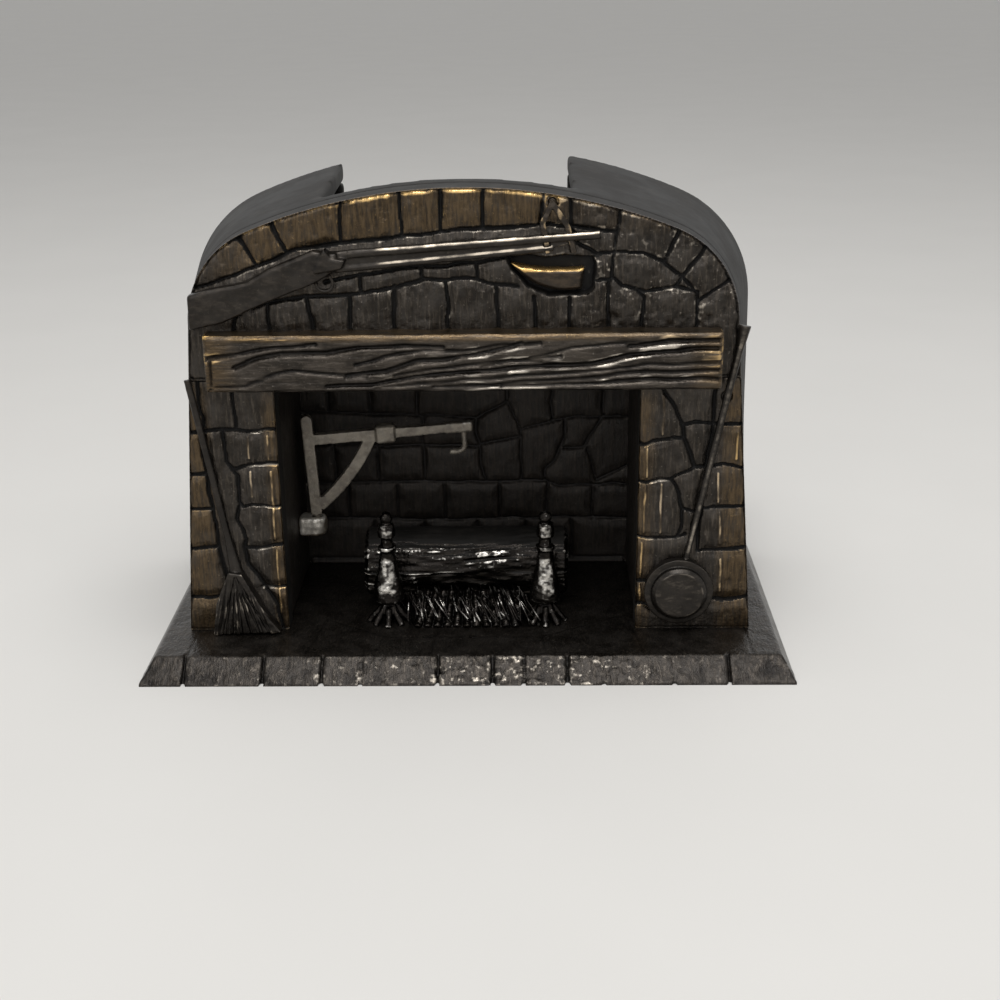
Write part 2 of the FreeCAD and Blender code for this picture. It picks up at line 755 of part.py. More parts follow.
def firebox_back():
    wall = block(cheek_left_x - cheek_wall, cheek_right_x + cheek_wall, back_y, back_y + back_wall,
                 base_height, opening_top)
    wide = cheek_right_x - cheek_left_x
    tall = opening_top - base_height
    stones = []
    for foot, head, joints in hearth_course_shares:
        z0 = base_height + tall * foot
        z1 = base_height + tall * head
        for left, right in zip(joints, joints[1:]):
            x0 = cheek_left_x + wide * left
            x1 = cheek_left_x + wide * right
            outline = [(x0, z0), (x1, z0), (x1, z1), (x0, z1)]
            stones.append(stone(outline, back_y, hearth_stone_relief, hearth_stone_bevel))
    strip_front = back_y - back_foot_strip
    strip_top = base_height + back_foot_strip
    strip = [(back_y, base_height), (strip_front, base_height), (back_y, strip_top)]
    stones.append(side_prism(strip, cheek_left_x + mortar_gap, cheek_right_x - mortar_gap))
    return wall.multiFuse(stones)


def sharpener_screw_seat():
    return Vector(sharpener_x, (plate_y + nose_y) / 2, opening_top + screw_head_height)


def smoke_shelf():
    shelf = block(cheek_left_x - cheek_wall, cheek_right_x + cheek_wall, panel_back_y, back_y + back_wall,
                  opening_top, shelf_top)
    seat = sharpener_screw_seat()
    return shelf.cut([screw_hole(seat, upward, sharpener_screw_length), screw_sink(seat, upward)])


def back_plate():
    plate = arch_body(shell_wall + plate_clearance, base_height).common(slab(plate_y, rear_y))
    cuts = [block(-notch_left, notch_right, plate_y - cut_overrun, rear_y + cut_overrun,
                  notch_floor, rear_apex_height + cut_overrun)]
    start = Vector(sharpener_x, plate_y - cut_overrun, pencil_axis_z)
    end = Vector(sharpener_x, rear_y + cut_overrun, pencil_axis_z)
    cuts.append(rod(start, end, pencil_radius + pencil_hole_clearance))
    for seat in plate_screw_seats():
        cuts.append(screw_hole(seat, inward, plate_screw_length))
        cuts.append(screw_sink(seat, inward))
    return plate.cut(cuts)


# Trims on the stone front

def rest_on_stones(pieces):
    whole = pieces[0].multiFuse(pieces[1:])
    return whole.common(slab(front_y, stone_y))


def lying_rod(start, end, start_radius, end_radius):
    y = stone_y - min(start_radius, end_radius) * trim_rest_share
    first = Vector(start[0], y, start[1])
    last = Vector(end[0], y, end[1])
    if start_radius == end_radius:
        return rod(first, last, start_radius)
    return taper(first, last, start_radius, end_radius)


def strap_bands(width, thickness):
    places = [strap_place(shares) for shares in strap_point_shares]
    front = stone_y - thickness
    bands = [band(first, last, width, front, stone_y) for first, last in zip(places, places[1:])]
    knees = [rod(Vector(x, front, z), Vector(x, stone_y, z), width / 2) for x, z in places[1:-1]]
    return bands[0].multiFuse(bands[1:] + knees)


def musket():
    stock_front = stone_y - musket_stock_thickness
    stock = face_prism([musket_place(shares) for shares in stock_outline_shares], stock_front, stone_y)
    stock = stock.makeChamfer(musket_stock_edge, front_edges(stock, stock_front))
    lock_front = stone_y - musket_lock_thickness
    lock = face_prism([musket_place(shares) for shares in lock_outline_shares], lock_front, stone_y)
    barrel = [musket_place(shares) for shares in barrel_shares]
    ramrod = [musket_place(shares) for shares in ramrod_shares]
    web = face_prism([ramrod[0], ramrod[1], barrel[1], barrel[0]], stone_y - musket_web_thickness, stone_y)
    x, z = musket_place(guard_centre_shares)
    guard_centre = Vector(x, stone_y - musket_web_thickness, z)
    guard = Part.makeTorus(musket_guard_radius, musket_guard_wire, guard_centre, backward)
    pieces = [stock, lock, web, guard,
              lying_rod(barrel[0], barrel[1], musket_barrel_radius, musket_barrel_radius),
              lying_rod(ramrod[0], ramrod[1], musket_rod_radius, musket_rod_radius)]
    whole = rest_on_stones(pieces)
    whole = whole.cut(strap_bands(strap_width + 2 * strap_clearance, strap_thickness + strap_clearance))
    return whole.multiFuse([stud(place, stone_y) for place in musket_studs])


def powder_horn():
    seat_y = face_y + recess_depth
    places = (horn_tip_shares, horn_top_shares, horn_mouth_shares, horn_heel_shares, horn_belly_shares)
    points = [Vector(x, seat_y, z) for x, z in map(recess_place, places)]
    tip, top, mouth, heel, belly = points
    edges = [Part.Arc(tip, top, mouth), Part.LineSegment(mouth, heel), Part.Arc(heel, belly, tip)]
    outline = Part.Face(Part.Wire([edge.toShape() for edge in edges]))
    horn = outline.extrude(Vector(0, -horn_thickness, 0))
    horn = horn.makeChamfer(horn_edge, front_edges(horn, seat_y - horn_thickness))
    return horn.multiFuse([stud(place, seat_y) for place in horn_studs])


def horn_strap():
    strap = strap_bands(strap_width, strap_thickness)
    return strap.multiFuse([stud(place, stone_y) for place in strap_studs])


def hearth_broom():
    front = stone_y - broom_head_thickness
    head = face_prism([broom_place(shares) for shares in broom_head_shares], front, stone_y)
    neck_place = broom_place(broom_neck_shares)
    grooves = []
    for share in broom_groove_shares:
        foot = broom_place((share, 0))
        grooves.append(band(neck_place, foot, broom_groove_width, front - cut_overrun,
                            front + broom_groove_depth))
    collar = (broom_collar_x, broom_collar_height)
    tip = (broom_tip_x, broom_tip_height)
    pieces = [head.cut(grooves),
              lying_rod(neck_place, collar, broom_neck_radius, broom_handle_radius),
              lying_rod(collar, tip, broom_handle_radius, broom_handle_radius)]
    return rest_on_stones(pieces).multiFuse([stud(place, stone_y) for place in broom_studs])


def warming_pan():
    centre = Vector(pan_x, stone_y, pan_height)
    rim = Part.makeCylinder(pan_radius, pan_depth, centre, inward)
    lid = Part.makeCylinder(pan_lid_radius, pan_lid_rise, centre + inward * pan_depth, inward)
    lid = lid.makeChamfer(pan_lid_edge, front_edges(lid, stone_y - pan_depth - pan_lid_rise))
    length = math.hypot(pan_tip_x - pan_x, pan_tip_height - pan_height)
    root = pan_handle_place((pan_radius - pan_handle_root) / length)
    cap = pan_handle_place(pan_cap_share)
    tip = pan_handle_place(1)
    pieces = [rim, lid,
              lying_rod(root, tip, pan_handle_start_radius, pan_handle_end_radius),
              lying_rod(cap, tip, pan_handle_start_radius, pan_cap_radius)]
    return rest_on_stones(pieces).multiFuse([stud(place, stone_y) for place in pan_studs])


# Fire

def andiron(x):
    centre = Vector(x, andiron_y, base_height)
    places = [Vector(andiron_radius * r, 0, andiron_height * z) + centre for r, z in andiron_profile_shares]
    body = Part.Face(Part.makePolygon(places + places[:1])).revolve(centre, upward, 360)
    ball = Part.makeSphere(andiron_ball_radius, centre + upward * (andiron_height - andiron_ball_radius))
    hub = centre + upward * (andiron_height * toe_hub_share)
    pieces = [ball]
    for angle in toe_angles:
        turn = math.radians(angle)
        foot = centre + Vector(toe_reach * math.sin(turn), -toe_reach * math.cos(turn), 0)
        pieces.append(rod(hub, foot, toe_radius))
    shank_foot = base_height + shank_lift
    end_y = andiron_y + shank_length
    left = x - shank_width / 2
    right = x + shank_width / 2
    pieces.append(block(left, right, andiron_y, end_y, shank_foot, shank_top))
    pieces.append(block(left, right, end_y - shank_width, end_y, base_height, shank_top))
    pieces.append(rod(centre, hub, toe_radius))
    above = block(-base_width, base_width, front_y, rear_y, base_height, base_width)
    return body.multiFuse(pieces).common(above)


def fire_log():
    start = Vector(-log_left, log_y, log_z)
    end = Vector(log_right, log_y, log_z)
    log = rod(start, end, log_radius)
    log = log.makeChamfer(log_chamfer, [edge for edge in log.Edges if len(edge.Vertexes) == 1])
    return log.common(block(-base_width, base_width, front_y, rear_y, shank_top, base_width))


def kindling():
    room = toe_reach + toe_radius + kindling_gap
    left = -andiron_left + room
    right = andiron_right - room
    rear = log_y - log_radius - kindling_gap
    front = face_y - kindling_toe
    mound = side_prism([(front, base_height), (rear, base_height), (rear, kindling_top)], left, right)
    middle = (left + right) / 2
    spread = (right - left) / 2 - twig_radius
    twigs = []
    for index in range(twig_count):
        along = 2 * index / (twig_count - 1) - 1
        foot = Vector(middle + spread * along, front, base_height)
        head = Vector(middle + spread * along * twig_gather_share, rear - twig_radius, kindling_top)
        twigs.append(rod(foot, head, twig_radius))
    above = block(-base_width, base_width, front_y, rear, base_height, base_width)
    return mound.multiFuse(twigs).common(above)


# Pot crane

def crane_bracket():
    bottom = bracket_top - bracket_height
    arm = block(cheek_left_x, crane_x, crane_y - bracket_radius, crane_y + bracket_radius,
                bottom, bracket_top)
    nose = rod(Vector(crane_x, crane_y, bottom), Vector(crane_x, crane_y, bracket_top), bracket_radius)
    start = Vector(cheek_left_x, crane_y, bracket_mid_z)
    stub = rod(start, start - Vector(bracket_stud_length, 0, 0), bracket_stud_radius)
    bore = Part.makeCylinder(pin_radius + pin_clearance, pin_length + pin_bottom_gap + cut_overrun,
                             Vector(0, 0, -pin_length - pin_bottom_gap))
    bore.Placement = crane_place
    return arm.multiFuse([nose, stub]).cut(bore)


def arm_bar(start, end, start_depth, end_depth):
    points = [(start, arm_height - start_depth / 2), (end, arm_height - end_depth / 2),
              (end, arm_height + end_depth / 2), (start, arm_height + start_depth / 2)]
    return face_prism(points, -crane_thickness / 2, crane_thickness / 2)


def brace_edge(inset):
    low = Vector(brace_foot_reach, 0, brace_foot)
    high = Vector(collar_start, 0, arm_height - arm_depth / 2)
    along = high - low
    out = Vector(along.z, 0, -along.x).normalize()
    middle = (low + high) / 2 + out * (along.Length * brace_sag_share)
    return [point - out * inset for point in (low, middle, high)]


def crane_brace():
    outer = brace_edge(0)
    inner = brace_edge(brace_width)
    edges = [Part.Arc(outer[0], outer[1], outer[2]), Part.LineSegment(outer[2], inner[2]),
             Part.Arc(inner[2], inner[1], inner[0]), Part.LineSegment(inner[0], outer[0])]
    face = Part.Face(Part.Wire([edge.toShape() for edge in edges]))
    return face.extrude(Vector(0, crane_thickness, 0)).translated(Vector(0, -crane_thickness / 2, 0))


def crane_hook():
    x = arm_length - hook_setback
    low = arm_height - hook_drop
    start = Vector(x, 0, arm_height)
    knee = Vector(x, 0, low + hook_bend)
    toe = Vector(x - hook_bend, 0, low)
    end = Vector(x - hook_bend - hook_return, 0, low)
    lean = hook_bend * math.cos(math.pi / 4)
    bend = Vector(x - hook_bend + lean, 0, low + hook_bend - lean)
    path = Part.Wire([Part.LineSegment(start, knee).toShape(), Part.Arc(knee, bend, toe).toShape(),
                      Part.LineSegment(toe, end).toShape()])
    ring = Part.Wire(Part.makeCircle(hook_wire, start, -upward))
    return path.makePipeShell([ring], True, False)


def pot_crane():
    half = post_width / 2
    post = block(-half, half, -crane_thickness / 2, crane_thickness / 2, 0, post_height - half)
    crown_start = Vector(0, -crane_thickness / 2, post_height - half)
    crown = rod(crown_start, crown_start + backward * crane_thickness, half)
    pin = rod(Vector(0, 0, -pin_length), Vector(0, 0, half), pin_radius)
    collar = block(collar_start, collar_start + collar_length, -collar_thickness / 2, collar_thickness / 2,
                   arm_height - collar_depth / 2, arm_height + collar_depth / 2)
    collar = collar.makeChamfer(collar_edge, collar.Edges)
    arms = [arm_bar(0, collar_start, arm_depth, arm_depth),
            arm_bar(collar_start, arm_length, arm_depth, arm_tip_depth)]
    crane = post.multiFuse([crown, pin, collar, crane_brace(), crane_hook()] + arms)
    crane.Placement = crane_place
    return crane


# Pencil sharpener

def sharpener_block():
    drop = (seat_y - nose_y) * math.tan(math.radians(blade_slope))
    seat_z = blade_seat.z
    profile = [(nose_y, shelf_top), (plate_y, shelf_top), (plate_y, shelf_top + sharpener_height),
               (seat_y, shelf_top + sharpener_height), (seat_y, seat_z), (nose_y, seat_z - drop)]
    body = side_prism(profile, sharpener_x - sharpener_width / 2, sharpener_x + sharpener_width / 2)
    mouth = Vector(sharpener_x, plate_y + cut_overrun, pencil_axis_z)
    guide_end = Vector(sharpener_x, seat_y, pencil_axis_z)
    point = Vector(sharpener_x, seat_y - bore_length, pencil_axis_z)
    cuts = [rod(mouth, guide_end, pencil_radius),
            taper(guide_end, point, pencil_radius, point_radius),
            screw_hole(sharpener_screw_seat(), upward, sharpener_screw_length),
            screw_hole(blade_screw_seat, blade_screw_way, blade_screw_length)]
    return body.cut(cuts)


def sharpener_blade():
    blade = block(-blade_overhang, blade_width - blade_overhang, -blade_gap - blade_length, -blade_gap,
                  0, blade_thickness)
    blade.Placement = blade_place
    return blade.cut(screw_hole(blade_screw_seat, blade_screw_way, blade_screw_length))


def screw_group(seats, direction, length):
    return Part.makeCompound([screw(seat, direction, length) for seat in seats])


nodes = {
    "hearth_base": hearth_base(),
    "left_pier": pier(-opening_left, -1, left_stone_shares, broom_studs),
    "right_pier": pier(opening_right, 1, right_stone_shares, pan_studs),
    "arch_panel": arch_panel(),
    "mantel_beam": mantel_beam(),
    "rear_shell": rear_shell(),
    "left_cheek": left_cheek(),
    "right_cheek": right_cheek(),
    "firebox_back": firebox_back(),
    "smoke_shelf": smoke_shelf(),
    "back_plate": back_plate(),
    "musket": musket(),
    "powder_horn": powder_horn(),
    "horn_strap": horn_strap(),
    "hearth_broom": hearth_broom(),
    "warming_pan": warming_pan(),
    "left_andiron": andiron(-andiron_left),
    "right_andiron": andiron(andiron_right),
    "fire_log": fire_log(),
    "kindling": kindling(),
    "crane_bracket": crane_bracket(),
    "pot_crane": pot_crane(),
    "sharpener_block": sharpener_block(),
    "sharpener_blade": sharpener_blade(),
    "blade_screw": screw(blade_screw_seat, blade_screw_way, blade_screw_length),
    "sharpener_screw": screw(sharpener_screw_seat(), upward, sharpener_screw_length),
    "surround_screws": screw_group(surround_screw_seats(), inward, surround_screw_length),
    "back_plate_screws": screw_group(plate_screw_seats(), inward, plate_screw_length),
    "base_screws": screw_group(base_screw_seats(), upward, base_screw_length),
}

for name, shape in nodes.items():
    shape.exportStep("parts/" + name + ".step")
    print(name, "solids", len(shape.Solids), "valid", shape.isValid(), "volume", round(shape.Volume, 2))
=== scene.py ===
import math
import bmesh
import bpy
import numpy as np
from mathutils import Matrix, Vector


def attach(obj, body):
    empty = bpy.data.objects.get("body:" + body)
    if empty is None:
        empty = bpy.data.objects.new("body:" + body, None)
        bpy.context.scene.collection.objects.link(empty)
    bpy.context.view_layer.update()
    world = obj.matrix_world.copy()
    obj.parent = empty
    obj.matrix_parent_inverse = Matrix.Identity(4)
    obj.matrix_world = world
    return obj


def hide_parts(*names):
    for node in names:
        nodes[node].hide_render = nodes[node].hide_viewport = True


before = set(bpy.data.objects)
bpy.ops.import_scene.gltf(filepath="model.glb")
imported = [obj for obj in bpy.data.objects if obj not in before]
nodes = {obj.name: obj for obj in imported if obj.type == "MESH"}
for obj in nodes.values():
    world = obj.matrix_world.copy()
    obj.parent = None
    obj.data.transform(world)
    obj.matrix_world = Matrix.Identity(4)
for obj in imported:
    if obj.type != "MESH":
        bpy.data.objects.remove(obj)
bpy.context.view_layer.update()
scene = bpy.context.scene
mm = 0.001
weldMm = 0.0008
noisePlan = {"seed": 41, "count": 4096, "primes": (7919, 104729, 15485863), "shiftStep": 17.31}
noiseTable = np.random.default_rng(noisePlan["seed"]).random(noisePlan["count"])


# Colours, shader nodes and the antique metal

def linear(code):
    parts = [int(code[i:i + 2], 16) / 255 for i in (1, 3, 5)]
    return tuple(c / 12.92 if c <= 0.04045 else ((c + 0.055) / 1.055) ** 2.4 for c in parts) + (1.0,)


def addNode(tree, kind, inputs=None, **settings):  # an input takes a value or another node's socket
    node = tree.nodes.new(kind)
    for key, value in settings.items():
        setattr(node, key, value)
    for key, value in (inputs or {}).items():
        if isinstance(value, bpy.types.NodeSocket):
            tree.links.new(value, node.inputs[key])
        else:
            node.inputs[key].default_value = value
    return node.outputs


def castMetal(look):  # bronzed zinc: mottled dark skin, tooling streaks, worn ridges in bare metal with painted highlights, painted glint specks, soot-dark patina in the dips with painted shade where a piece adds it
    material = bpy.data.materials.new(look["name"])
    material.use_nodes = True
    tree = material.node_tree
    tree.nodes.clear()
    place = addNode(tree, "ShaderNodeTexCoord")["Object"]
    toolScale = [1 / (size * mm) for size in look["toolMm"]]
    tooled = addNode(tree, "ShaderNodeMapping", {"Vector": place, "Scale": toolScale})[0]
    mottle = addNode(tree, "ShaderNodeTexNoise", {"Vector": place, "Scale": 1 / (look["mottleMm"] * mm),
                                                  "Detail": 5.0, "Roughness": 0.62})[0]
    speck = addNode(tree, "ShaderNodeTexNoise", {"Vector": place, "Scale": 1 / (look["speckMm"] * mm)})[0]
    tooling = addNode(tree, "ShaderNodeTexNoise", {"Vector": tooled, "Scale": 1.0,
                                                   "Detail": 3.0, "Roughness": 0.7})[0]
    rubAndHighlight, patinaAndShade, gild = [addNode(tree, "ShaderNodeAttribute", attribute_name=name)["Fac"]
                      for name in ("rubAndHighlight", "patinaAndShade", "gild")]
    # the rub attribute holds worn edges and the painted highlights each piece lays in, so the bare-metal coat
    # carries both
    uneven = addNode(tree, "ShaderNodeMath", {0: tooling, 1: look["wearAndHighlightSpread"], 2: -look["wearAndHighlightSpread"] / 2},
                     operation="MULTIPLY_ADD")[0]
    rubbedAndLit = addNode(tree, "ShaderNodeMath", {0: rubAndHighlight, 1: uneven}, operation="ADD")[0]

    # each pattern becomes a share: Map Range has its limits at 1 and 2, its results at 3 and 4
    patterns = {
        "patch": (mottle, 0.0, 1.0),
        "streak": (tooling, 0.0, look["streak"]),
        "brush": (tooling, *look["brushShare"]),
        "wearAndHighlight": (rubbedAndLit, 0.0, look["wearAndHighlightMost"]),
        # painted glints: random specks turned to bare metal colour
        "glint": (speck, 0.0, look["glint"]),
        "cloud": (mottle, look["rough"] - look["roughSpread"], look["rough"] + look["roughSpread"]),
    }
    share = {}
    for name, (pattern, least, most) in patterns.items():
        low, high = look[name + "Range"]
        share[name] = addNode(tree, "ShaderNodeMapRange", {0: pattern, 1: low, 2: high, 3: least, 4: most},
                              interpolation_type="SMOOTHSTEP")[0]
    warm = addNode(tree, "ShaderNodeMath", {0: gild, 1: share["brush"]}, operation="MULTIPLY")[0]
    # darkening in the dips is patina; the shade some pieces pass in is painted shade
    patinaAndShadeShare = addNode(tree, "ShaderNodeMath", {0: patinaAndShade, 1: look["soot"]}, operation="MULTIPLY")[0]
    bare = addNode(tree, "ShaderNodeMix", {0: gild, 6: linear(look["silver"]), 7: linear(look["gold"])},
                   data_type="RGBA")[2]

    # each coat lies over the ones before it: Mix has its colours at 6 and 7
    skin = linear(look["dark"])
    coats = [(share["patch"], linear(look["mid"])), (share["streak"], linear(look["light"])),
             (warm, linear(look["warm"])), (share["wearAndHighlight"], bare), (share["glint"], bare),
             (patinaAndShadeShare, linear(look["deep"]))]
    for cover, coat in coats:
        skin = addNode(tree, "ShaderNodeMix", {0: cover, 6: skin, 7: coat}, data_type="RGBA")[2]

    rough = addNode(tree, "ShaderNodeMath", {0: share["wearAndHighlight"], 1: look["wornRough"], 2: share["cloud"]},
                    operation="MULTIPLY_ADD")[0]
    grit = addNode(tree, "ShaderNodeMath", {0: speck, 1: look["speckDeep"]}, operation="MULTIPLY")[0]
    height = addNode(tree, "ShaderNodeMath", {0: tooling, 1: look["toolDeep"], 2: grit},
                     operation="MULTIPLY_ADD")[0]
    bump = addNode(tree, "ShaderNodeBump", {"Height": height, "Strength": look["bump"],
                                            "Distance": look["bumpMm"] * mm})[0]
    shader = addNode(tree, "ShaderNodeBsdfPrincipled", {
        "Base Color": skin, "Roughness": rough, "Normal": bump,
        "Metallic": look["metal"], "Specular IOR Level": look["specular"]})[0]
    addNode(tree, "ShaderNodeOutputMaterial", {"Surface": shader})
    return material


castLook = {
    "mottleMm": 2.2, "speckMm": 0.3, "toolMm": (0.3, 0.8, 2.4), "bumpMm": 0.12,
    "dark": "#242220", "mid": "#3a3734", "light": "#605a53", "warm": "#5e4d36", "deep": "#070606",
    "gold": "#d0aa6a", "silver": "#b9b3aa",
    "patchRange": (0.36, 0.66), "streakRange": (0.5, 0.72), "brushRange": (0.35, 0.62),
    "wearAndHighlightRange": (0.3, 1.0), "glintRange": (0.66, 0.74), "cloudRange": (0.3, 0.7),
    "streak": 0.45, "brushShare": (0.25, 0.8), "wearAndHighlightSpread": 0.5, "wearAndHighlightMost": 0.9, "glint": 0.12,
    "rough": 0.34, "roughSpread": 0.07, "wornRough": -0.12, "toolDeep": 0.8, "speckDeep": 0.5, "bump": 0.7,
    "soot": 0.85, "metal": 0.85, "specular": 0.5,
}
looks = {
    "stone": {"name": "BronzedZincStone"},  # brown-black casting, gold and silver where hands rub its edges
    "soot": {  # blackened zinc: the fire opening swallows the light
        "name": "BlackenedZinc", "dark": "#171514", "mid": "#252220", "light": "#332f2c", "wearAndHighlightMost": 0.3,
        "glint": 0.05, "rough": 0.55, "metal": 0.4, "soot": 0.7, "specular": 0.3},
    "timber": {  # bronzed zinc tooled along the beam: long grain with bright ridges
        "name": "BronzedZincTimber", "toolMm": (2.6, 0.8, 0.3), "dark": "#2a2724", "mid": "#413c37"},
    "shell": {  # satin black lacquer on smooth zinc: soft, even and dull
        "name": "SatinBlackZinc", "dark": "#171614", "mid": "#1f1d1b", "warm": "#26231f",
        "toolMm": (2.0, 2.0, 2.0), "mottleMm": 6.0, "glint": 0.0, "streak": 0.1, "toolDeep": 0.15,
        "speckDeep": 0.35, "bump": 0.25, "rough": 0.66, "metal": 0.2, "specular": 0.22},
    "trim": {  # smooth dark bronzed zinc for each tool hung on the stones; the sheen along each is partly its gloss and partly a painted highlight laid in by its piece
        "name": "DarkBronzedZinc", "dark": "#262422", "mid": "#33302d", "warm": "#4b4136",
        "toolMm": (1.2, 0.8, 0.5), "glint": 0.04, "streak": 0.2, "toolDeep": 0.3, "speckDeep": 0.25,
        "bump": 0.3, "rough": 0.36},
    "iron": {  # gloss black zinc: painted white glints on near black
        "name": "GlossBlackZinc", "dark": "#100f0e", "mid": "#1d1b1a", "light": "#35322f",
        "toolMm": (1.6, 0.5, 0.4), "glint": 0.2, "streak": 0.2, "rough": 0.22, "silver": "#d5d2cc",
        "metal": 0.9},
    "pewter": {  # bare zinc rubbed pale, a little dull
        "name": "BareZinc", "dark": "#645f58", "mid": "#8e887d", "light": "#a49e93", "deep": "#3b3732",
        "gold": "#efeae0", "silver": "#d4cfc4", "toolMm": (0.8, 0.8, 0.8), "toolDeep": 0.4, "glint": 0.1,
        "soot": 0.5, "rough": 0.46, "metal": 0.5},
    "zinc": {  # milled zinc: cutter lines across the block, drawn coarse enough to show
        "name": "MilledZinc", "dark": "#9c9d9f", "mid": "#a9aaac", "light": "#bcbdbf", "deep": "#5c5d5f",
        "toolMm": (3.0, 0.15, 3.0), "glint": 0.05, "rough": 0.36, "roughSpread": 0.03, "metal": 0.9},
    "steel": {  # ground steel: bright, its grinding lines drawn coarse enough to show
        "name": "GroundSteel", "dark": "#9da0a4", "mid": "#a8abaf", "light": "#b6b9bd", "deep": "#4a4b4d",
        "toolMm": (0.12, 2.0, 2.0), "glint": 0.05, "rough": 0.28, "roughSpread": 0.02, "metal": 1.0},
}
skins = {key: castMetal({**castLook, **look}) for key, look in looks.items()}
print("materials", len(skins))


# Mesh work, in millimetres

def latticeNoise(places, grain, shift):  # smooth noise from -1 to 1, another pattern for each shift
    spots = places / np.asarray(grain, float) + shift * noisePlan["shiftStep"]
    base = np.floor(spots).astype(np.int64)
    part = spots - base
    part = part * part * (3 - 2 * part)
    total = np.zeros(len(places))
    for corner in range(8):
        step = np.array([corner & 1, corner >> 1 & 1, corner >> 2])
        key = ((base + step) @ np.array(noisePlan["primes"])) % noisePlan["count"]
        total += np.prod(np.where(step, part, 1 - part), axis=1) * noiseTable[key]
    return total * 2 - 1


def noiseSum(places, *layers):  # a layer is its grain, its shift and its height
    return sum(latticeNoise(places, grain, shift) * height for grain, shift, height in layers)


def ramp(values, low, high, first=0, last=1):  # eases from first to last between the limits
    share = np.clip((values - low) / (high - low), 0, 1)
    return first + (last - first) * share * share * (3 - 2 * share)


def linkPiece(name, mesh):
    piece = bpy.data.objects.new(name, mesh)
    scene.collection.objects.link(piece)
    return piece


def plainMesh(piece):
    graph = bpy.context.evaluated_depsgraph_get()
    mesh = bpy.data.meshes.new_from_object(piece.evaluated_get(graph))
    piece.modifiers.clear()
    piece.data = mesh
    return mesh


def mergedCopy(node, name):
    mesh = nodes[node].data.copy()
    mesh.materials.clear()
    mesh.transform(Matrix.Scale(1 / mm, 4))
    work = bmesh.new()
    work.from_mesh(mesh)
    bmesh.ops.remove_doubles(work, verts=work.verts, dist=weldMm)
    bmesh.ops.recalc_face_normals(work, faces=work.faces)
    work.to_mesh(mesh)
    work.free()
    return linkPiece(name, mesh)


def points(mesh, field="co"):
    values = np.empty(len(mesh.vertices) * 3)
    mesh.vertices.foreach_get(field, values)
    return values.reshape(-1, 3)


def edgePairs(mesh):
    pairs = np.empty(len(mesh.edges) * 2, np.int32)
    mesh.edges.foreach_get("vertices", pairs)
    return pairs.reshape(-1, 2)


def relaxed(values, pairs, rounds):
    count = len(values)
    degree = np.maximum(np.bincount(pairs.ravel(), minlength=count), 1)[:, None]
    for _ in range(rounds):
        total = np.empty_like(values)
        for axis in range(values.shape[1]):
            total[:, axis] = (np.bincount(pairs[:, 0], values[pairs[:, 1], axis], count)
                              + np.bincount(pairs[:, 1], values[pairs[:, 0], axis], count))
        values = total / degree
    return values


def placeOf(mesh, places):
    mesh.vertices.foreach_set("co", np.ascontiguousarray(places, np.float32).ravel())
    mesh.update()


def remeshed(piece, voxel, rounds=1):
    remesh = piece.modifiers.new("remesh", "REMESH")
    remesh.mode = "VOXEL"
    remesh.voxel_size = voxel
    remesh.adaptivity = 0.0
    mesh = plainMesh(piece)
    smooth = relaxed(points(mesh), edgePairs(mesh), rounds)
    placeOf(mesh, smooth if rounds > 1 else smooth * 0.5 + points(mesh) * 0.5)  # one round goes half way
    return piece


def voxelCopy(node, name, voxel, rounds=1):
    return remeshed(mergedCopy(node, name), voxel, rounds)


def lighten(piece, most):
    count = sum(len(face.vertices) - 2 for face in piece.data.polygons)
    if count > most:
        cut = piece.modifiers.new("cut", "DECIMATE")
        cut.ratio = most / count
        plainMesh(piece)


def setFloat(mesh, name, values):
    field = mesh.attributes.get(name) or mesh.attributes.new(name, "FLOAT", "POINT")
    field.data.foreach_set("value", np.ascontiguousarray(values, np.float32))


wearPlan = {"patchShift": 50, "patchFade": (-0.3, 0.55)}  # hands never rub an edge evenly


# raised edges wear to bare metal; the extra share passed in adds painted highlights and glints; dips darken
# as patina, and the shade passed in is painted shade
def markWearAndLight(piece, gild, shine, polishAndHighlight=0.0, shade=0.0, rounds=5, standMm=0.05, patchMm=1.3):
    mesh = piece.data
    places = points(mesh)
    level = relaxed(places, edgePairs(mesh), rounds)
    stand = np.einsum("ij,ij->i", places - level, points(mesh, "normal"))
    patch = ramp(latticeNoise(places, patchMm, wearPlan["patchShift"]), *wearPlan["patchFade"])
    setFloat(mesh, "rubAndHighlight", np.clip(np.clip(stand / standMm, 0, 1) * patch * shine + polishAndHighlight, 0, 1))
    setFloat(mesh, "patinaAndShade", np.clip(np.maximum(-stand / standMm, shade), 0, 1))
    setFloat(mesh, "gild", np.clip(np.full(len(places), gild), 0, 1))


def settle(piece, skin, body, slot, *stood):
    mesh = piece.data
    mesh.transform(Matrix.Scale(mm, 4))
    mesh.materials.clear()
    mesh.materials.append(skins[skin])
    mesh.shade_smooth()
    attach(piece, body)
    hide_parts(*stood)


def faceField(mesh, field):
    values = np.empty(len(mesh.polygons) * 3)
    mesh.polygons.foreach_get(field, values)
    return values.reshape(-1, 3)


def paintedShadeFaces(piece, chosen):  # dark matt skin laid on the chosen faces: painted shade
    piece.data.materials.append(skins["shell"])
    piece.data.polygons.foreach_set("material_index", chosen.astype(np.int32))


def polylineDistance(flat, line):
    best = np.full(len(flat), np.inf)
    for first, last in zip(line, line[1:]):
        start, along = np.array(first), np.array(last) - np.array(first)
        share = np.clip(((flat - start) @ along) / (along @ along), 0, 1)
        best = np.minimum(best, np.linalg.norm(flat - start - share[:, None] * along, axis=1))
    return best


# Stone front and firebox back: flush castings with their joints cut between pillowed stones

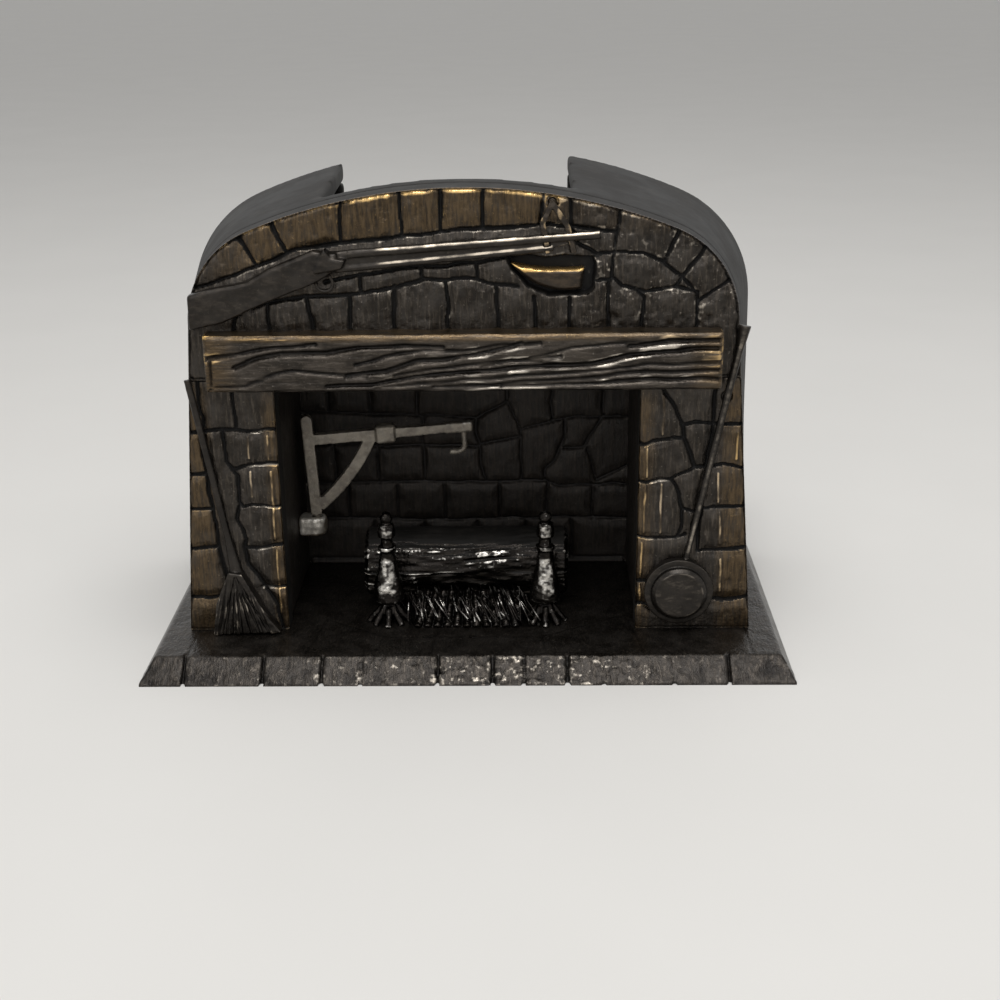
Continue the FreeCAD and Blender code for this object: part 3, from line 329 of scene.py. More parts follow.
ringFoot = [(-25.6, 41.3), (-21, 43), (-17.6, 44.4), (-13, 45.1), (-6, 46), (0, 46.7), (7, 46.9),
            (11.2, 46.9), (15.8, 46.1)]
stonePieces = {
    "left_pier": {
        "name": "LeftPierStones", "voxel": 0.115, "most": 185000, "top": -9.6, "deep": 0.6,
        "joints": [
            [(-31, 25.3), (-28, 25.4), (-26, 25.6), (-22, 25.4), (-19, 25.5)],
            [(-27.9, 31), (-27.9, 21), (-27.4, 16.6), (-27.1, 11.8), (-26, 6.5), (-25.6, 2)],
            [(-24.4, 31), (-24.4, 25.5)], [(-31, 20.5), (-27.9, 20.6)], [(-31, 16.7), (-27.4, 16.6)],
            [(-31, 11.8), (-27.2, 12.2)], [(-31, 6.3), (-28.5, 6.1), (-26, 6.6)],
            [(-25.9, 25.5), (-25.8, 22), (-24.9, 21.2), (-22.4, 21.6), (-19, 21.6)],
            [(-25.2, 21.3), (-24.6, 20.4), (-24.6, 17.4), (-24.2, 16.8), (-22.4, 16.9), (-19, 16.8)],
            [(-24.6, 17), (-24.9, 15.4), (-24.1, 13), (-24.2, 12.1), (-22.4, 12.1), (-19, 12.5)],
            [(-24.2, 12.1), (-24, 10.2), (-22.4, 7.6), (-21.2, 5), (-20.6, 2)],
            [(-22.6, 7.3), (-19, 7.4)],
        ],
        "scores": [[(-23.1, 24.8), (-23.1, 22.4)], [(-23.1, 20.8), (-23.1, 18)], [(-21, 24.8), (-21, 22.2)],
                   [(-20.9, 20.8), (-20.9, 13)], [(-20.8, 11.8), (-20.8, 4.2)]],
    },
    "right_pier": {
        "name": "RightPierStones", "voxel": 0.115, "most": 185000, "top": -9.6, "deep": 0.6,
        "joints": [
            [(17, 24.3), (18.9, 23.7), (20, 24.1), (22.4, 24.4), (23.1, 24.3)],
            [(17, 19.8), (19.2, 19.4), (20.5, 19.8), (22, 19.8), (23.6, 20.6), (24.2, 21), (25.6, 20.9)],
            [(17, 13.6), (19.5, 12.9), (21.2, 12.8), (22.6, 13), (23.6, 13.4)], [(17, 8.1), (20, 7.9)],
            [(17, 5), (19, 5.2), (20.4, 4.6)],
            [(20.7, 30), (21.8, 28), (23, 25.6), (23.1, 24.3), (23.9, 22.5), (24.2, 21)],
            [(23, 25.9), (24.2, 26.2), (26.6, 25.9), (30, 25.8)],
            [(22, 19.8), (22.7, 18), (23.3, 16.2), (23.2, 14.6), (22.6, 13)],
            [(23.3, 16.2), (24.4, 16), (25.2, 16.6)],
            [(26.4, 31), (26.2, 25.9), (25.6, 20.9), (25.2, 16.6), (24.9, 11.3)],
            [(25.2, 16.4), (27.4, 16.4), (30, 16.6)], [(24.9, 11.3), (27.2, 11.4), (30, 11.7)],
            [(25.8, 21), (27.6, 21.3), (30, 20.9)], [(26.6, 5.6), (28, 5.5), (30.5, 5.9)],
        ],
        "scores": [[(26.9, 20.4), (27, 17)], [(27.2, 15.9), (27.4, 12.2)], [(27.5, 10.4), (27.6, 6.6)],
                   [(20.9, 19.2), (20.9, 13.5)], [(20.9, 29), (20.9, 24.8)], [(19.2, 19), (19.1, 13.6)],
                   [(19.3, 23.2), (19.3, 20)], [(28.8, 25), (28.7, 22)], [(18.9, 12.4), (18.9, 8.4)],
                   [(18.8, 7.6), (18.8, 5.6)]],
    },
    "arch_panel": {
        "name": "ArchStones", "voxel": 0.13, "most": 195000, "top": -9.6, "deep": 0.6, "recessDeep": 1.4,
        "recess": [(4.3, 44), (5.0, 42.2), (6.6, 40.5), (8.8, 39.75), (12.6, 39.75), (13.6, 40.4),
                   (13.8, 42), (13.6, 44)],
        "joints": [
            ringFoot + [(15.4, 44.2), (18.6, 43.9), (20.4, 43.1), (22.3, 41.5), (24, 39.8), (24, 36)],
            [(-28, 40.6), (-25.6, 41.3)], [(-23.2, 47), (-21, 43)], [(-20, 49), (-17.8, 44.4)],
            [(-12.2, 51), (-12.1, 45.2)], [(-6.1, 51), (-6, 46)], [(-2.1, 51), (-2.1, 46.4)],
            [(2.3, 51), (2.2, 46.7)], [(8.3, 51), (7.9, 46.8)], [(11, 51), (11.2, 46.9)],
            [(16.5, 50), (15.8, 46.1), (15.4, 44.2)], [(22.3, 47), (20.4, 43.1)],
            [(24.9, 44.9), (22.3, 41.5)], [(27.6, 41.7), (24, 39)],
            [(15.4, 44.2), (15.1, 41.6), (16.2, 40.6), (18.4, 40.2), (21.6, 40.5), (22.3, 41.5)],
            [(-23.8, 36), (-23.4, 38.4)], [(-20, 36), (-20.1, 39.1)], [(-15.5, 36), (-16.1, 39.9)],
            [(-11.6, 36), (-11.7, 40)], [(-7, 36), (-7, 40.8)], [(-1.5, 36), (-1.6, 41.5)],
            [(3.5, 36), (3.4, 41)], [(7.5, 36), (7.4, 39.7)], [(11.1, 36), (10.9, 39.6)],
            [(14.9, 36), (14.9, 40.9), (15.1, 41.6)], [(18.4, 36), (18.5, 39.6), (17.8, 40.2)],
            [(-21.6, 38.9), (-16, 39.9), (-11.7, 40), (-7, 40.6), (-4, 41.5), (1.6, 41.6), (3.4, 40.9),
             (5.6, 40.7)],
            [(21.6, 40.5), (24, 40)], [(-10.4, 40.2), (-10.4, 42.1)], [(-4.2, 41.5), (-4.2, 42.8)],
            [(1.7, 41.6), (1.6, 43.2)],
            [(-14, 41.4), (-10.4, 42.1), (-4.2, 42.8), (1.6, 43.2), (4.4, 43.8)],
            [(13.7, 44.1), (15.4, 44.2)], [(13.8, 41.2), (15.1, 41.4)],
            [(11.2, 46.9), (11.8, 45.2), (13.7, 44.1)],
        ],
    },
    "firebox_back": {
        "name": "FireboxBackStones", "voxel": 0.16, "most": 160000, "top": 9.25, "deep": 0.35,
        "skin": "soot", "slot": "sooty_stone",
        "joints": [
            [(4.2, 32), (4.2, 22.6), (2.5, 21.6), (0.6, 20.7), (-6.5, 21.1), (-12, 21.3), (-17, 21.4),
             (-22, 21.2)],
            [(4.3, 22.6), (5, 20.5), (5.7, 19), (5.9, 18.3), (5.9, 12.7)],
            [(5.7, 19), (9.6, 20.3), (13, 20.7), (20, 20.6)], [(9.5, 32), (9.6, 20.3)],
            [(15.6, 32), (15.6, 20.7)], [(0.6, 20.7), (0.4, 19), (0.9, 17.3), (1, 14.8), (1.6, 12.6)],
            [(0.9, 17.3), (3.5, 17.8), (5.9, 18.3)],
            [(-20, 17.6), (-11.4, 17.3), (-5.8, 17.2), (0.9, 17.2)], [(-5.8, 21), (-5.8, 12.7)],
            [(-11.3, 17.2), (-11.4, 12.4)], [(-16.6, 17.5), (-16.4, 12.5)],
            [(-21, 12.6), (-12, 12.5), (-5.8, 12.7), (1.6, 12.6), (8.6, 12.6), (10.4, 12), (14.4, 12.3),
             (20, 12.2)],
            [(11.2, 20.5), (11, 18), (10, 15.5), (8.6, 14), (8.6, 12.6)],
            [(15.4, 20.7), (13.9, 18.2), (13.2, 16.9), (11, 16.7)],
            [(13.6, 16.8), (14.5, 14.2), (14.8, 12.9), (16, 13.4), (20, 15)], [(14.4, 12.3), (14.4, 7.8)],
            [(3.2, 12.6), (3.2, 7.8)], [(-3.4, 12.6), (-3.4, 7.8)], [(-9, 12.6), (-9.2, 7.8)],
            [(-15, 12.5), (-15, 7.8)], [(9, 12.4), (8.8, 7.8)],
            [(-21, 7.9), (0, 7.8), (12.8, 8), (20, 7.8)], [(-12, 32), (-12, 21.3)],
            [(-6.2, 32), (-6.4, 21.1)], [(-17.2, 32), (-17, 21.4)], [(-12, 7.8), (-12, 2)],
            [(-6, 7.8), (-6, 2)], [(0.4, 7.8), (0.4, 2)], [(6.4, 7.8), (6.4, 2)], [(12, 7.8), (12, 2)],
        ],
    },
}
# a fade is its limits and what it runs from and to, a noise layer its grain, its shift and its height
stoneCut = {
    "slack": 0.02, "recessSlack": 0.2, "facing": 0.06,
    "width": 0.24, "widthVary": (3.0, 5, 0.35), "jointFoot": 0.05, "joint": 0.36,
    "pillow": 0.2, "crown": (0.15, 1.5, 1, 0), "sag": 0.05, "recess": 1.35, "recessWall": (0.0, 0.34),
    "rim": 0.22, "rimRounds": 6, "rimFade": (0.55, 0.97, 1, 0),
    "browRounds": 24, "browFade": (0.62, 0.995, 1, 0), "browUp": (44, 47),
    "waveAcross": ((2.1, 1, 0.2), (0.7, 2, 0.07)), "waveUp": ((2.1, 3, 0.2), (0.7, 4, 0.07)),
    "swell": (3.4, 6, 0.07), "chisel": ((0.26, 1, 2.4), 7, 0.03),
    "hammer": ((0.8, 1, 0.9), 8, 0.055), "peck": ((0.38, 1, 0.4), 11, 0.035),
    "hammerAcross": (8, 14, 0.4, 1), "hammerUp": (35, 37),
    "hammerLeast": 0.8, "hammerGain": 1.2, "peckLeast": 0.2,
    "score": 0.11, "scoreWave": 0.3, "scoreFade": (0.05, 0.19, 1, 0),
}
stoneWear = {
    "shine": 0.36, "shineUp": (34, 38, 0, 0.1), "gildBefore": -9.2, "gildBehind": 0.1, "shadedBehind": 0.35,
    "middle": -0.8, "jambOut": 20.6, "jambFade": (1.2, 3.2, 1, 0), "jambUp": (26, 30, 1, 0),
    "crestUp": (40, 45), "crestEnd": (9, 18, 1, 0.4), "browAcross": (-15, -7), "cornerUp": (9, 17, 1, 0.6),
    "ledgeHighlight": (0.3, 0.7), "ledgeHighlightJamb": 0.8, "ledgeHighlightLeast": 0.15, "score": 0.8, "scoreGild": 0.5,
    "paintedGlints": 0.55, "paintedGlintGrain": (0.3, 9), "paintedGlintFade": (0.1, 0.75),
    "rubGrain": (1.2, 50), "rubFade": (-0.3, 0.5, 0.45, 1), "rounds": 4, "patchMm": 0.7,
}
gildPlan = {  # where hands have rubbed the bronze to gold
    "least": 0.12, "crown": 0.8, "outer": 0.75, "jamb": 0.7,
    "crownOver": (-0.3, 0.6), "crownAcross": (-28, -20), "crownEnd": (7, 13, 1, 0.15), "crownUp": (40, 42),
    "rimUp": (40, 43), "rimEnd": (20, 25, 1, 0.4), "outerAcross": (26.6, 28.2), "outerUp": (29, 32, 1, 0),
    "leftJamb": -20.2, "leftFade": (0.4, 1.6, 1, 0), "rightJamb": 18.4, "rightFade": (0.4, 2.2, 1, 0),
    "jambUp": (27, 31, 1, 0),
}


def facedCopy(node, plan):  # its stones pressed flush, so that the joints can be cut anew
    piece = mergedCopy(node, plan["name"])
    places = points(piece.data)
    deep = np.full(len(places), plan["deep"])
    if "recess" in plan:
        low = np.min(plan["recess"], axis=0) - stoneCut["recessSlack"]
        high = np.max(plan["recess"], axis=0) + stoneCut["recessSlack"]
        flat = places[:, [0, 2]]
        deep[np.all((flat > low) & (flat < high), axis=1)] = plan["recessDeep"]
    behind = places[:, 1] > plan["top"] - stoneCut["slack"]
    before = places[:, 1] < plan["top"] + deep + stoneCut["slack"]
    places[behind & before, 1] = plan["top"]
    placeOf(piece.data, places)
    return remeshed(piece, plan["voxel"])


def insideOutline(flat, outline):
    inside = np.zeros(len(flat), bool)
    for first, last in zip(outline, outline[1:] + outline[:1]):
        above = (first[1] > flat[:, 1]) != (last[1] > flat[:, 1])
        cross = first[0] + (flat[:, 1] - first[1]) * (last[0] - first[0]) / ((last[1] - first[1]) or 1e-9)
        inside ^= above & (flat[:, 0] < cross)
    return inside


def stoneGild(across, up, rim):
    ring = np.interp(across, *np.array(ringFoot).T)
    crown = (ramp(up - ring, *gildPlan["crownOver"]) * ramp(across, *gildPlan["crownAcross"])
             * ramp(across, *gildPlan["crownEnd"]) * ramp(up, *gildPlan["crownUp"]))
    rimmed = rim * ramp(up, *gildPlan["rimUp"]) * ramp(across, *gildPlan["rimEnd"])
    outer = ramp(np.abs(across), *gildPlan["outerAcross"]) * ramp(up, *gildPlan["outerUp"])
    left = ramp(np.abs(across - gildPlan["leftJamb"]), *gildPlan["leftFade"])
    right = ramp(np.abs(across - gildPlan["rightJamb"]), *gildPlan["rightFade"])
    jamb = np.maximum(left, right) * ramp(up, *gildPlan["jambUp"])
    areas = [crown * gildPlan["crown"], rimmed, outer * gildPlan["outer"], jamb * gildPlan["jamb"]]
    return gildPlan["least"] + np.max(areas, axis=0)


for node, plan in stonePieces.items():
    piece = facedCopy(node, plan)
    mesh = piece.data
    pairs = edgePairs(mesh)
    places = points(mesh)
    across = places[:, 0]
    up = places[:, 2]
    facing = np.abs(places[:, 1] - plan["top"]) < stoneCut["facing"]
    soft = relaxed(facing.astype(float)[:, None], pairs, stoneCut["rimRounds"])
    rim = np.where(facing, ramp(soft[:, 0], *stoneCut["rimFade"]), 0)
    softer = relaxed(soft, pairs, stoneCut["browRounds"])
    brow = np.where(facing, ramp(softer[:, 0], *stoneCut["browFade"]), 0) * ramp(up, *stoneCut["browUp"])

    # joints, pillowed faces and the marks of chisel and hammer
    spots = places[facing]
    wave = np.stack([noiseSum(spots, *stoneCut["waveAcross"]), noiseSum(spots, *stoneCut["waveUp"])], axis=1)
    flat = spots[:, [0, 2]] + wave
    away = np.min([polylineDistance(flat, line) for line in plan["joints"]], axis=0)
    wide = stoneCut["width"] * (1 + noiseSum(spots, stoneCut["widthVary"]))
    hammered = ramp(spots[:, 0], *stoneCut["hammerAcross"]) * ramp(spots[:, 2], *stoneCut["hammerUp"])
    depth = stoneCut["joint"] * ramp(away, stoneCut["jointFoot"], wide, 1, 0)
    depth += stoneCut["pillow"] * ramp(away, *stoneCut["crown"]) ** 2
    depth += stoneCut["sag"] + stoneCut["rim"] * rim[facing] - noiseSum(spots, stoneCut["swell"])
    depth -= noiseSum(spots, stoneCut["chisel"])
    struck = stoneCut["hammerLeast"] + stoneCut["hammerGain"] * hammered
    depth -= struck * noiseSum(spots, stoneCut["hammer"])
    depth -= (stoneCut["peckLeast"] + hammered) * noiseSum(spots, stoneCut["peck"])
    scored = np.zeros(len(spots))
    for line in plan.get("scores", []):
        nearby = polylineDistance(spots[:, [0, 2]] + wave * stoneCut["scoreWave"], line)
        scored = np.maximum(scored, ramp(nearby, *stoneCut["scoreFade"]))
    depth -= stoneCut["score"] * scored
    if "recess" in plan:
        edge = polylineDistance(flat, plan["recess"] + plan["recess"][:1])
        sunk = np.maximum(depth, stoneCut["recess"] * ramp(edge, *stoneCut["recessWall"]))
        depth = np.where(insideOutline(flat, plan["recess"]), sunk, depth)
    places[facing, 1] += np.maximum(depth, 0.0)
    placeOf(mesh, places)

    # wear on the jamb corners and score lines; painted highlights along the upper rims, the brow and the
    # upward ledges; painted glints on the hammered stones; gold where hands reach
    normals = points(mesh, "normal")
    shine = np.full(len(places), stoneWear["shine"])
    shine[facing] += ramp(spots[:, 2], *stoneWear["shineUp"])
    reached = places[:, 1] < stoneWear["gildBefore"]
    gild = np.where(reached, stoneGild(across, up, rim), stoneWear["gildBehind"])
    jambAway = np.abs(np.abs(across - stoneWear["middle"]) - stoneWear["jambOut"])
    jamb = ramp(jambAway, *stoneWear["jambFade"]) * ramp(up, *stoneWear["jambUp"])
    crest = rim * gild * ramp(up, *stoneWear["crestUp"])
    crest = np.maximum(crest, brow * ramp(across, *stoneWear["browAcross"]))
    crest *= ramp(across, *stoneWear["crestEnd"])
    corner = rim * jamb * ramp(up, *stoneWear["cornerUp"])
    ledgeHighlight = ramp(normals[:, 2], *stoneWear["ledgeHighlight"]) * facing
    ledgeHighlight *= np.maximum(jamb * stoneWear["ledgeHighlightJamb"], stoneWear["ledgeHighlightLeast"])
    polishAndHighlight = np.max([crest, corner, ledgeHighlight], axis=0)
    paintedGlints = ramp(latticeNoise(spots, *stoneWear["paintedGlintGrain"]), *stoneWear["paintedGlintFade"])
    paintedGlints *= hammered * stoneWear["paintedGlints"]
    polishAndHighlight[facing] = np.max([polishAndHighlight[facing], scored * stoneWear["score"], paintedGlints], axis=0)
    polishAndHighlight *= ramp(latticeNoise(places, *stoneWear["rubGrain"]), *stoneWear["rubFade"])
    gild[facing] = np.maximum(gild[facing], scored * stoneWear["scoreGild"])
    markWearAndLight(piece, gild, shine, polishAndHighlight, rounds=stoneWear["rounds"], patchMm=stoneWear["patchMm"])
    lighten(piece, plan["most"])
    settle(piece, plan.get("skin", "stone"), "hearth", plan.get("slot", "antique_stone"), node)
    if plan["top"] < 0:  # the faces behind the front, its sides, deepest joints and horn recess, get the dark matt skin: painted shade
        paintedShadeFaces(piece, faceField(piece.data, "center")[:, 1] > (plan["top"] + stoneWear["shadedBehind"]) * mm)
print("stone front", len(stonePieces))


# Base: a kerb of rough stones with painted glints and a painted highlight in the middle and painted shade
# toward its ends, before a paved floor

basePlan = {
    "voxel": 0.17, "most": 170000, "standMm": 0.06, "patchMm": 0.9,
    "gild": 0.1, "shine": 0.2, "shineKerb": 0.4,
    "paving": [[(-30, -16), (-30, -9.5)], [(-17.5, -16), (-16, -7)], [(-4, -16), (-3.5, -10.5)],
               [(8.5, -16), (8, -10.5)], [(19, -16), (17.5, -6)], [(30.5, -16), (30.5, -9.5)],
               [(-16, -7), (-9, -11.5), (8, -11.6), (17.5, -6)]],
    "pavingFade": (0.05, 0.22, 0.05, 0), "paved": ((0.5, 9, 0.02), (1.4, 10, 0.025)),
    "kerbFront": (-16.4, -15.8, 1, 0), "kerbUp": (0.05, 0.4),
    "floorFront": (-16.1, -15.6), "floorUp": (0.8, 0.95),
    "middle": 3, "middleSpan": 17, "endsLeast": 0.45, "rugged": ((0.6, 7, 0.1), (1.5, 8, 0.12)),
    "paintedGlints": ((0.42, 51, 0.6), (0.2, 52, 0.4)), "paintedGlintFade": (-0.15, 0.75, 0, 0.8),
    "shade": 0.55, "shadeMiddle": 0.2, "shadeDips": (0.0, 0.12, 0, 0.4),
}
piece = voxelCopy("hearth_base", "HearthBaseStones", basePlan["voxel"])
mesh = piece.data
places = points(mesh)
normals = points(mesh, "normal")
kerb = ramp(places[:, 1], *basePlan["kerbFront"]) * ramp(normals[:, 2], *basePlan["kerbUp"])
floorTop = ramp(normals[:, 2], *basePlan["floorUp"]) * ramp(places[:, 1], *basePlan["floorFront"])
bulge = np.exp(-((places[:, 0] - basePlan["middle"]) / basePlan["middleSpan"]) ** 2)
middle = basePlan["endsLeast"] + (1 - basePlan["endsLeast"]) * bulge
rugged = noiseSum(places, *basePlan["rugged"])
joints = np.min([polylineDistance(places[:, :2], line) for line in basePlan["paving"]], axis=0)
paved = noiseSum(places, *basePlan["paved"]) - ramp(joints, *basePlan["pavingFade"])
placeOf(mesh, places + normals * (kerb * middle * rugged + floorTop * paved)[:, None])
# rub and painted glints peak in the kerb's middle as a painted highlight; painted shade grows toward its
# ends, and the dips are darker
shine = basePlan["shine"] + basePlan["shineKerb"] * kerb * middle
paintedGlints = kerb * middle * ramp(noiseSum(places, *basePlan["paintedGlints"]), *basePlan["paintedGlintFade"])
kerbShade = basePlan["shade"] - basePlan["shadeMiddle"] * middle + ramp(-rugged, *basePlan["shadeDips"])
markWearAndLight(piece, basePlan["gild"], shine, paintedGlints, kerb * kerbShade, standMm=basePlan["standMm"],
         patchMm=basePlan["patchMm"])
lighten(piece, basePlan["most"])
settle(piece, "stone", "hearth", "antique_stone", "hearth_base")
print("base")


# Mantel beam with its wavy grain

mantelPlan = {
    "voxel": 0.13, "most": 170000, "rounds": 6, "standMm": 0.08, "patchMm": (2.2, 1.0, 0.8),
    "width": 0.34, "foot": 0.06, "deep": 0.42, "face": (0.3, 0.8), "waver": ((2.6, 2, 0.8), 12, 0.14),
    "fine": (((3.0, 1.0, 0.3), 13, 0.05), ((1.0, 1.0, 0.5), 14, 0.04)),
    "middle": 33.3, "wane": ((4.0, 3.0, 3.0), 15, 0.06), "waneFade": (2.0, 3.0),
    "gild": 0.08, "ends": (22.5, 25.8, 0, 0.75), "crest": (35.5, 36.0), "crestEnd": (6, 22, 1, 0.5),
    "highlightAcross": (-6, 5), "shineLeast": 0.35,
    "grooves": [
        [(-27, 33.9), (-24.4, 34.2), (-22, 34.7), (-19, 35.1), (-15, 35.4)],
        [(-23.5, 33.0), (-21, 34.0), (-18.5, 34.4), (-14, 34.4), (-10.5, 35.0), (-6, 35.2), (-2, 35.0)],
        [(-26.2, 30.8), (-22.5, 31.0), (-19.5, 32.2), (-17.5, 32.7), (-15, 32.5), (-12.5, 32.1), (-10, 32.0)],
        [(-12, 32.0), (-8, 32.5), (-5, 33.4), (-1, 33.9), (3, 34.5), (6, 35.4)],
        [(-11, 33.2), (-8, 34.0), (-4, 34.7), (0, 34.6), (4, 35.1), (8, 35.4)],
        [(-7, 32.0), (-3, 32.7), (1, 33.2), (6, 33.6), (10, 34.0)],
        [(-14, 31.0), (-9, 31.2), (-5, 31.9), (0, 32.3), (5, 32.8), (9, 33.0), (13, 33.2), (17, 34.0),
         (21, 34.5), (27, 34.8)],
        [(-9, 30.8), (-4, 31.2), (1, 31.6), (6, 32.0), (11, 32.3), (15, 32.6), (19, 33.0), (27, 33.3)],
        [(-3, 30.8), (3, 31.0), (8, 31.4), (13, 31.7), (18, 32.2), (27, 32.4)],
        [(4, 30.8), (10, 31.1), (15, 31.2), (20, 31.5), (27, 31.5)],
        [(7, 33.8), (11, 34.8), (15, 35.3), (18, 35.4)],
        [(17, 35.0), (21, 35.5), (27, 35.6)],
        [(2, 33.0), (5, 33.6), (8, 33.4)],
        [(-26.1, 30.4), (-26.0, 33.9)],
    ],
}
piece = voxelCopy("mantel_beam", "MantelTimber", mantelPlan["voxel"])
mesh = piece.data
places = points(mesh)
normals = points(mesh, "normal")
flat = places[:, [0, 2]]
flat[:, 1] += noiseSum(places, mantelPlan["waver"])
depth = np.zeros(len(places))
for index, line in enumerate(mantelPlan["grooves"]):
    strength = 0.75 + 0.25 * math.sin(index * 2.4)  # no two grooves alike
    reach = mantelPlan["width"] * (0.8 + 0.4 * strength)
    groove = ramp(polylineDistance(flat, line), mantelPlan["foot"], reach, 1, 0)
    depth = np.maximum(depth, mantelPlan["deep"] * strength * groove)
face = ramp(-normals[:, 1], *mantelPlan["face"])
hewn = places + normals * (face * (noiseSum(places, *mantelPlan["fine"]) - depth))[:, None]
edge = ramp(np.abs(places[:, 2] - mantelPlan["middle"]), *mantelPlan["waneFade"])
hewn[:, 2] += noiseSum(places, mantelPlan["wane"]) * edge
placeOf(mesh, hewn)
ends = ramp(np.abs(places[:, 0]), *mantelPlan["ends"])
crest = ramp(places[:, 2], *mantelPlan["crest"]) * ramp(places[:, 0], *mantelPlan["crestEnd"])
gild = mantelPlan["gild"] + np.maximum(ends, crest)
# more rub toward the right half: painted highlight
shine = np.maximum(ramp(places[:, 0], *mantelPlan["highlightAcross"]), gild)
shine = mantelPlan["shineLeast"] + (1 - mantelPlan["shineLeast"]) * shine
markWearAndLight(piece, gild, shine, rounds=mantelPlan["rounds"], standMm=mantelPlan["standMm"],
         patchMm=mantelPlan["patchMm"])
lighten(piece, mantelPlan["most"])
settle(piece, "timber", "hearth", "antique_timber", "mantel_beam")
print("mantel")


# Smooth castings, their edges eased as a mould leaves them

smoothPlan = {"rounds": 2, "gild": 0.1, "shine": 0.25, "standMm": 0.12, "most": 80000}
smoothPieces = {
    "rear_shell": {"name": "RearShellCasting", "voxel": 0.29, "skin": "shell", "slot": "dark_shell"},
    "back_plate": {"name": "BackPlateCasting", "voxel": 0.26, "skin": "shell", "slot": "dark_shell"},
    "left_cheek": {"name": "LeftCheekCasting", "voxel": 0.22, "skin": "soot", "slot": "sooty_stone"},
    "right_cheek": {"name": "RightCheekCasting", "voxel": 0.22, "skin": "soot", "slot": "sooty_stone"},
    "smoke_shelf": {"name": "SmokeShelfCasting", "voxel": 0.24, "skin": "soot", "slot": "sooty_stone"},
}
for node, plan in smoothPieces.items():
    piece = voxelCopy(node, plan["name"], plan["voxel"], smoothPlan["rounds"])
    markWearAndLight(piece, smoothPlan["gild"], smoothPlan["shine"], standMm=smoothPlan["standMm"])
    lighten(piece, smoothPlan["most"])
    settle(piece, plan["skin"], "hearth", plan["slot"], node)
machined = {
    "sharpener_block": "zinc", "sharpener_blade": "steel", "blade_screw": "steel", "sharpener_screw": "steel",
    "surround_screws": "steel", "back_plate_screws": "steel", "base_screws": "steel",
}
for node, skin in machined.items():  # sharp edges, shown as built
    nodes[node].data.materials.clear()
    nodes[node].data.materials.append(skins[skin])
print("smooth castings", len(smoothPieces))


# Trims, fire group and crane: small castings with worn edges and painted highlights

gunPlan = {"barrel": [(-13.3, 44.15), (14.25, 46.06)], "ramrod": [(-13.5, 42.6), (9.5, 44.75)],
           "line": (0.3, 0.5, 1, 0), "lit": (0.55, 0.95), "from": (-10, -7),
           "bandGrain": ((1.3, 4, 4), 24), "bands": (-0.4, 0.3, 0.55, 1)}


def gunHighlight(places, normals):  # painted highlights: two bright lines with a dark gap, on faces turned up and forward
    flat = places[:, [0, 2]]
    barrel = ramp(polylineDistance(flat, gunPlan["barrel"]), *gunPlan["line"])
    ramrod = ramp(polylineDistance(flat, gunPlan["ramrod"]), *gunPlan["line"])
    lit = ramp(normals[:, 2] - 0.5 * normals[:, 1], *gunPlan["lit"]) * ramp(places[:, 0], *gunPlan["from"])
    bands = ramp(latticeNoise(places, *gunPlan["bandGrain"]), *gunPlan["bands"])
    return np.maximum(barrel, ramrod) * lit * bands


hornPlan = {"up": (42.0, 42.5), "lit": (0.3, 0.9)}


# painted highlight on the upper rim, on faces turned up and forward
def hornHighlight(places, normals):
    return ramp(places[:, 2], *hornPlan["up"]) * ramp(normals[:, 2] - normals[:, 1], *hornPlan["lit"])


andironPlan = {
    "body": ((4.9, 6.3), (9.6, 10.3, 1, 0)), "knop": ((12.3, 12.5, 0, 0.9), (13.5, 13.8, 1, 0)),
    "collar": ((10.7, 10.85, 0, 0.7), (11.1, 11.25, 1, 0)),
    "lit": (0.45, 1.1), "dents": ((0.42, 23, 0.6), (0.2, 25, 0.4)), "dentFade": (-0.5, 0.6, 0.35, 0.9),
    "swell": (4.3, 4.9, 0, 0.16), "swellEnd": (6.2, 9.6, 1, 0),
}


def andironHighlight(places, normals):  # painted highlight on the front of the hammered body, knop and collar; neck and ball left dark
    height = places[:, 2]
    parts = [andironPlan[part] for part in ("body", "knop", "collar")]
    highlit = np.max([ramp(height, *foot) * ramp(height, *head) for foot, head in parts], axis=0)
    lit = ramp(0.3 * normals[:, 2] - normals[:, 1], *andironPlan["lit"])
    return lit * highlit * ramp(noiseSum(places, *andironPlan["dents"]), *andironPlan["dentFade"])


def andironSwell(places, normals):
    return ramp(places[:, 2], *andironPlan["swell"]) * ramp(places[:, 2], *andironPlan["swellEnd"])


panPlan = {"handleUp": (11, 12), "handleLit": (0.8, 0.98, 0, 0.42), "lidLit": (0.7, 0.95, 0, 0.3),
           "lidFront": (-11.4, -11.1, 1, 0)}


def panHighlight(places, normals):  # painted sheen on the lid's front, a painted highlight along the handle
    handle = ramp(places[:, 2], *panPlan["handleUp"])
    lid = ramp(-normals[:, 1], *panPlan["lidLit"]) * ramp(places[:, 1], *panPlan["lidFront"]) * (1 - handle)
    return lid + ramp(-normals[:, 1], *panPlan["handleLit"]) * handle


strapPlan = {"lit": (0.3, 0.8), "grain": (0.7, 22), "rubbedAndLit": (-0.1, 0.5, 0, 0.75)}


# painted highlight on the front faces, broken into patches
def strapHighlight(places, normals):
    rubbedAndLit = ramp(latticeNoise(places, *strapPlan["grain"]), *strapPlan["rubbedAndLit"])
    return ramp(-normals[:, 1], *strapPlan["lit"]) * rubbedAndLit


cranePlan = {"footLit": (0.2, 1.0, 0, 0.7), "hookFrom": (-3.2, -2.6, 0, 0.12),
             "hookBelow": (22.3, 22.7, 1, 0)}


# worn bare metal on the foot, brightened on faces turned up and forward as a painted highlight
def footWearAndHighlight(places, normals):
    return ramp(normals[:, 2] - normals[:, 1], *cranePlan["footLit"])


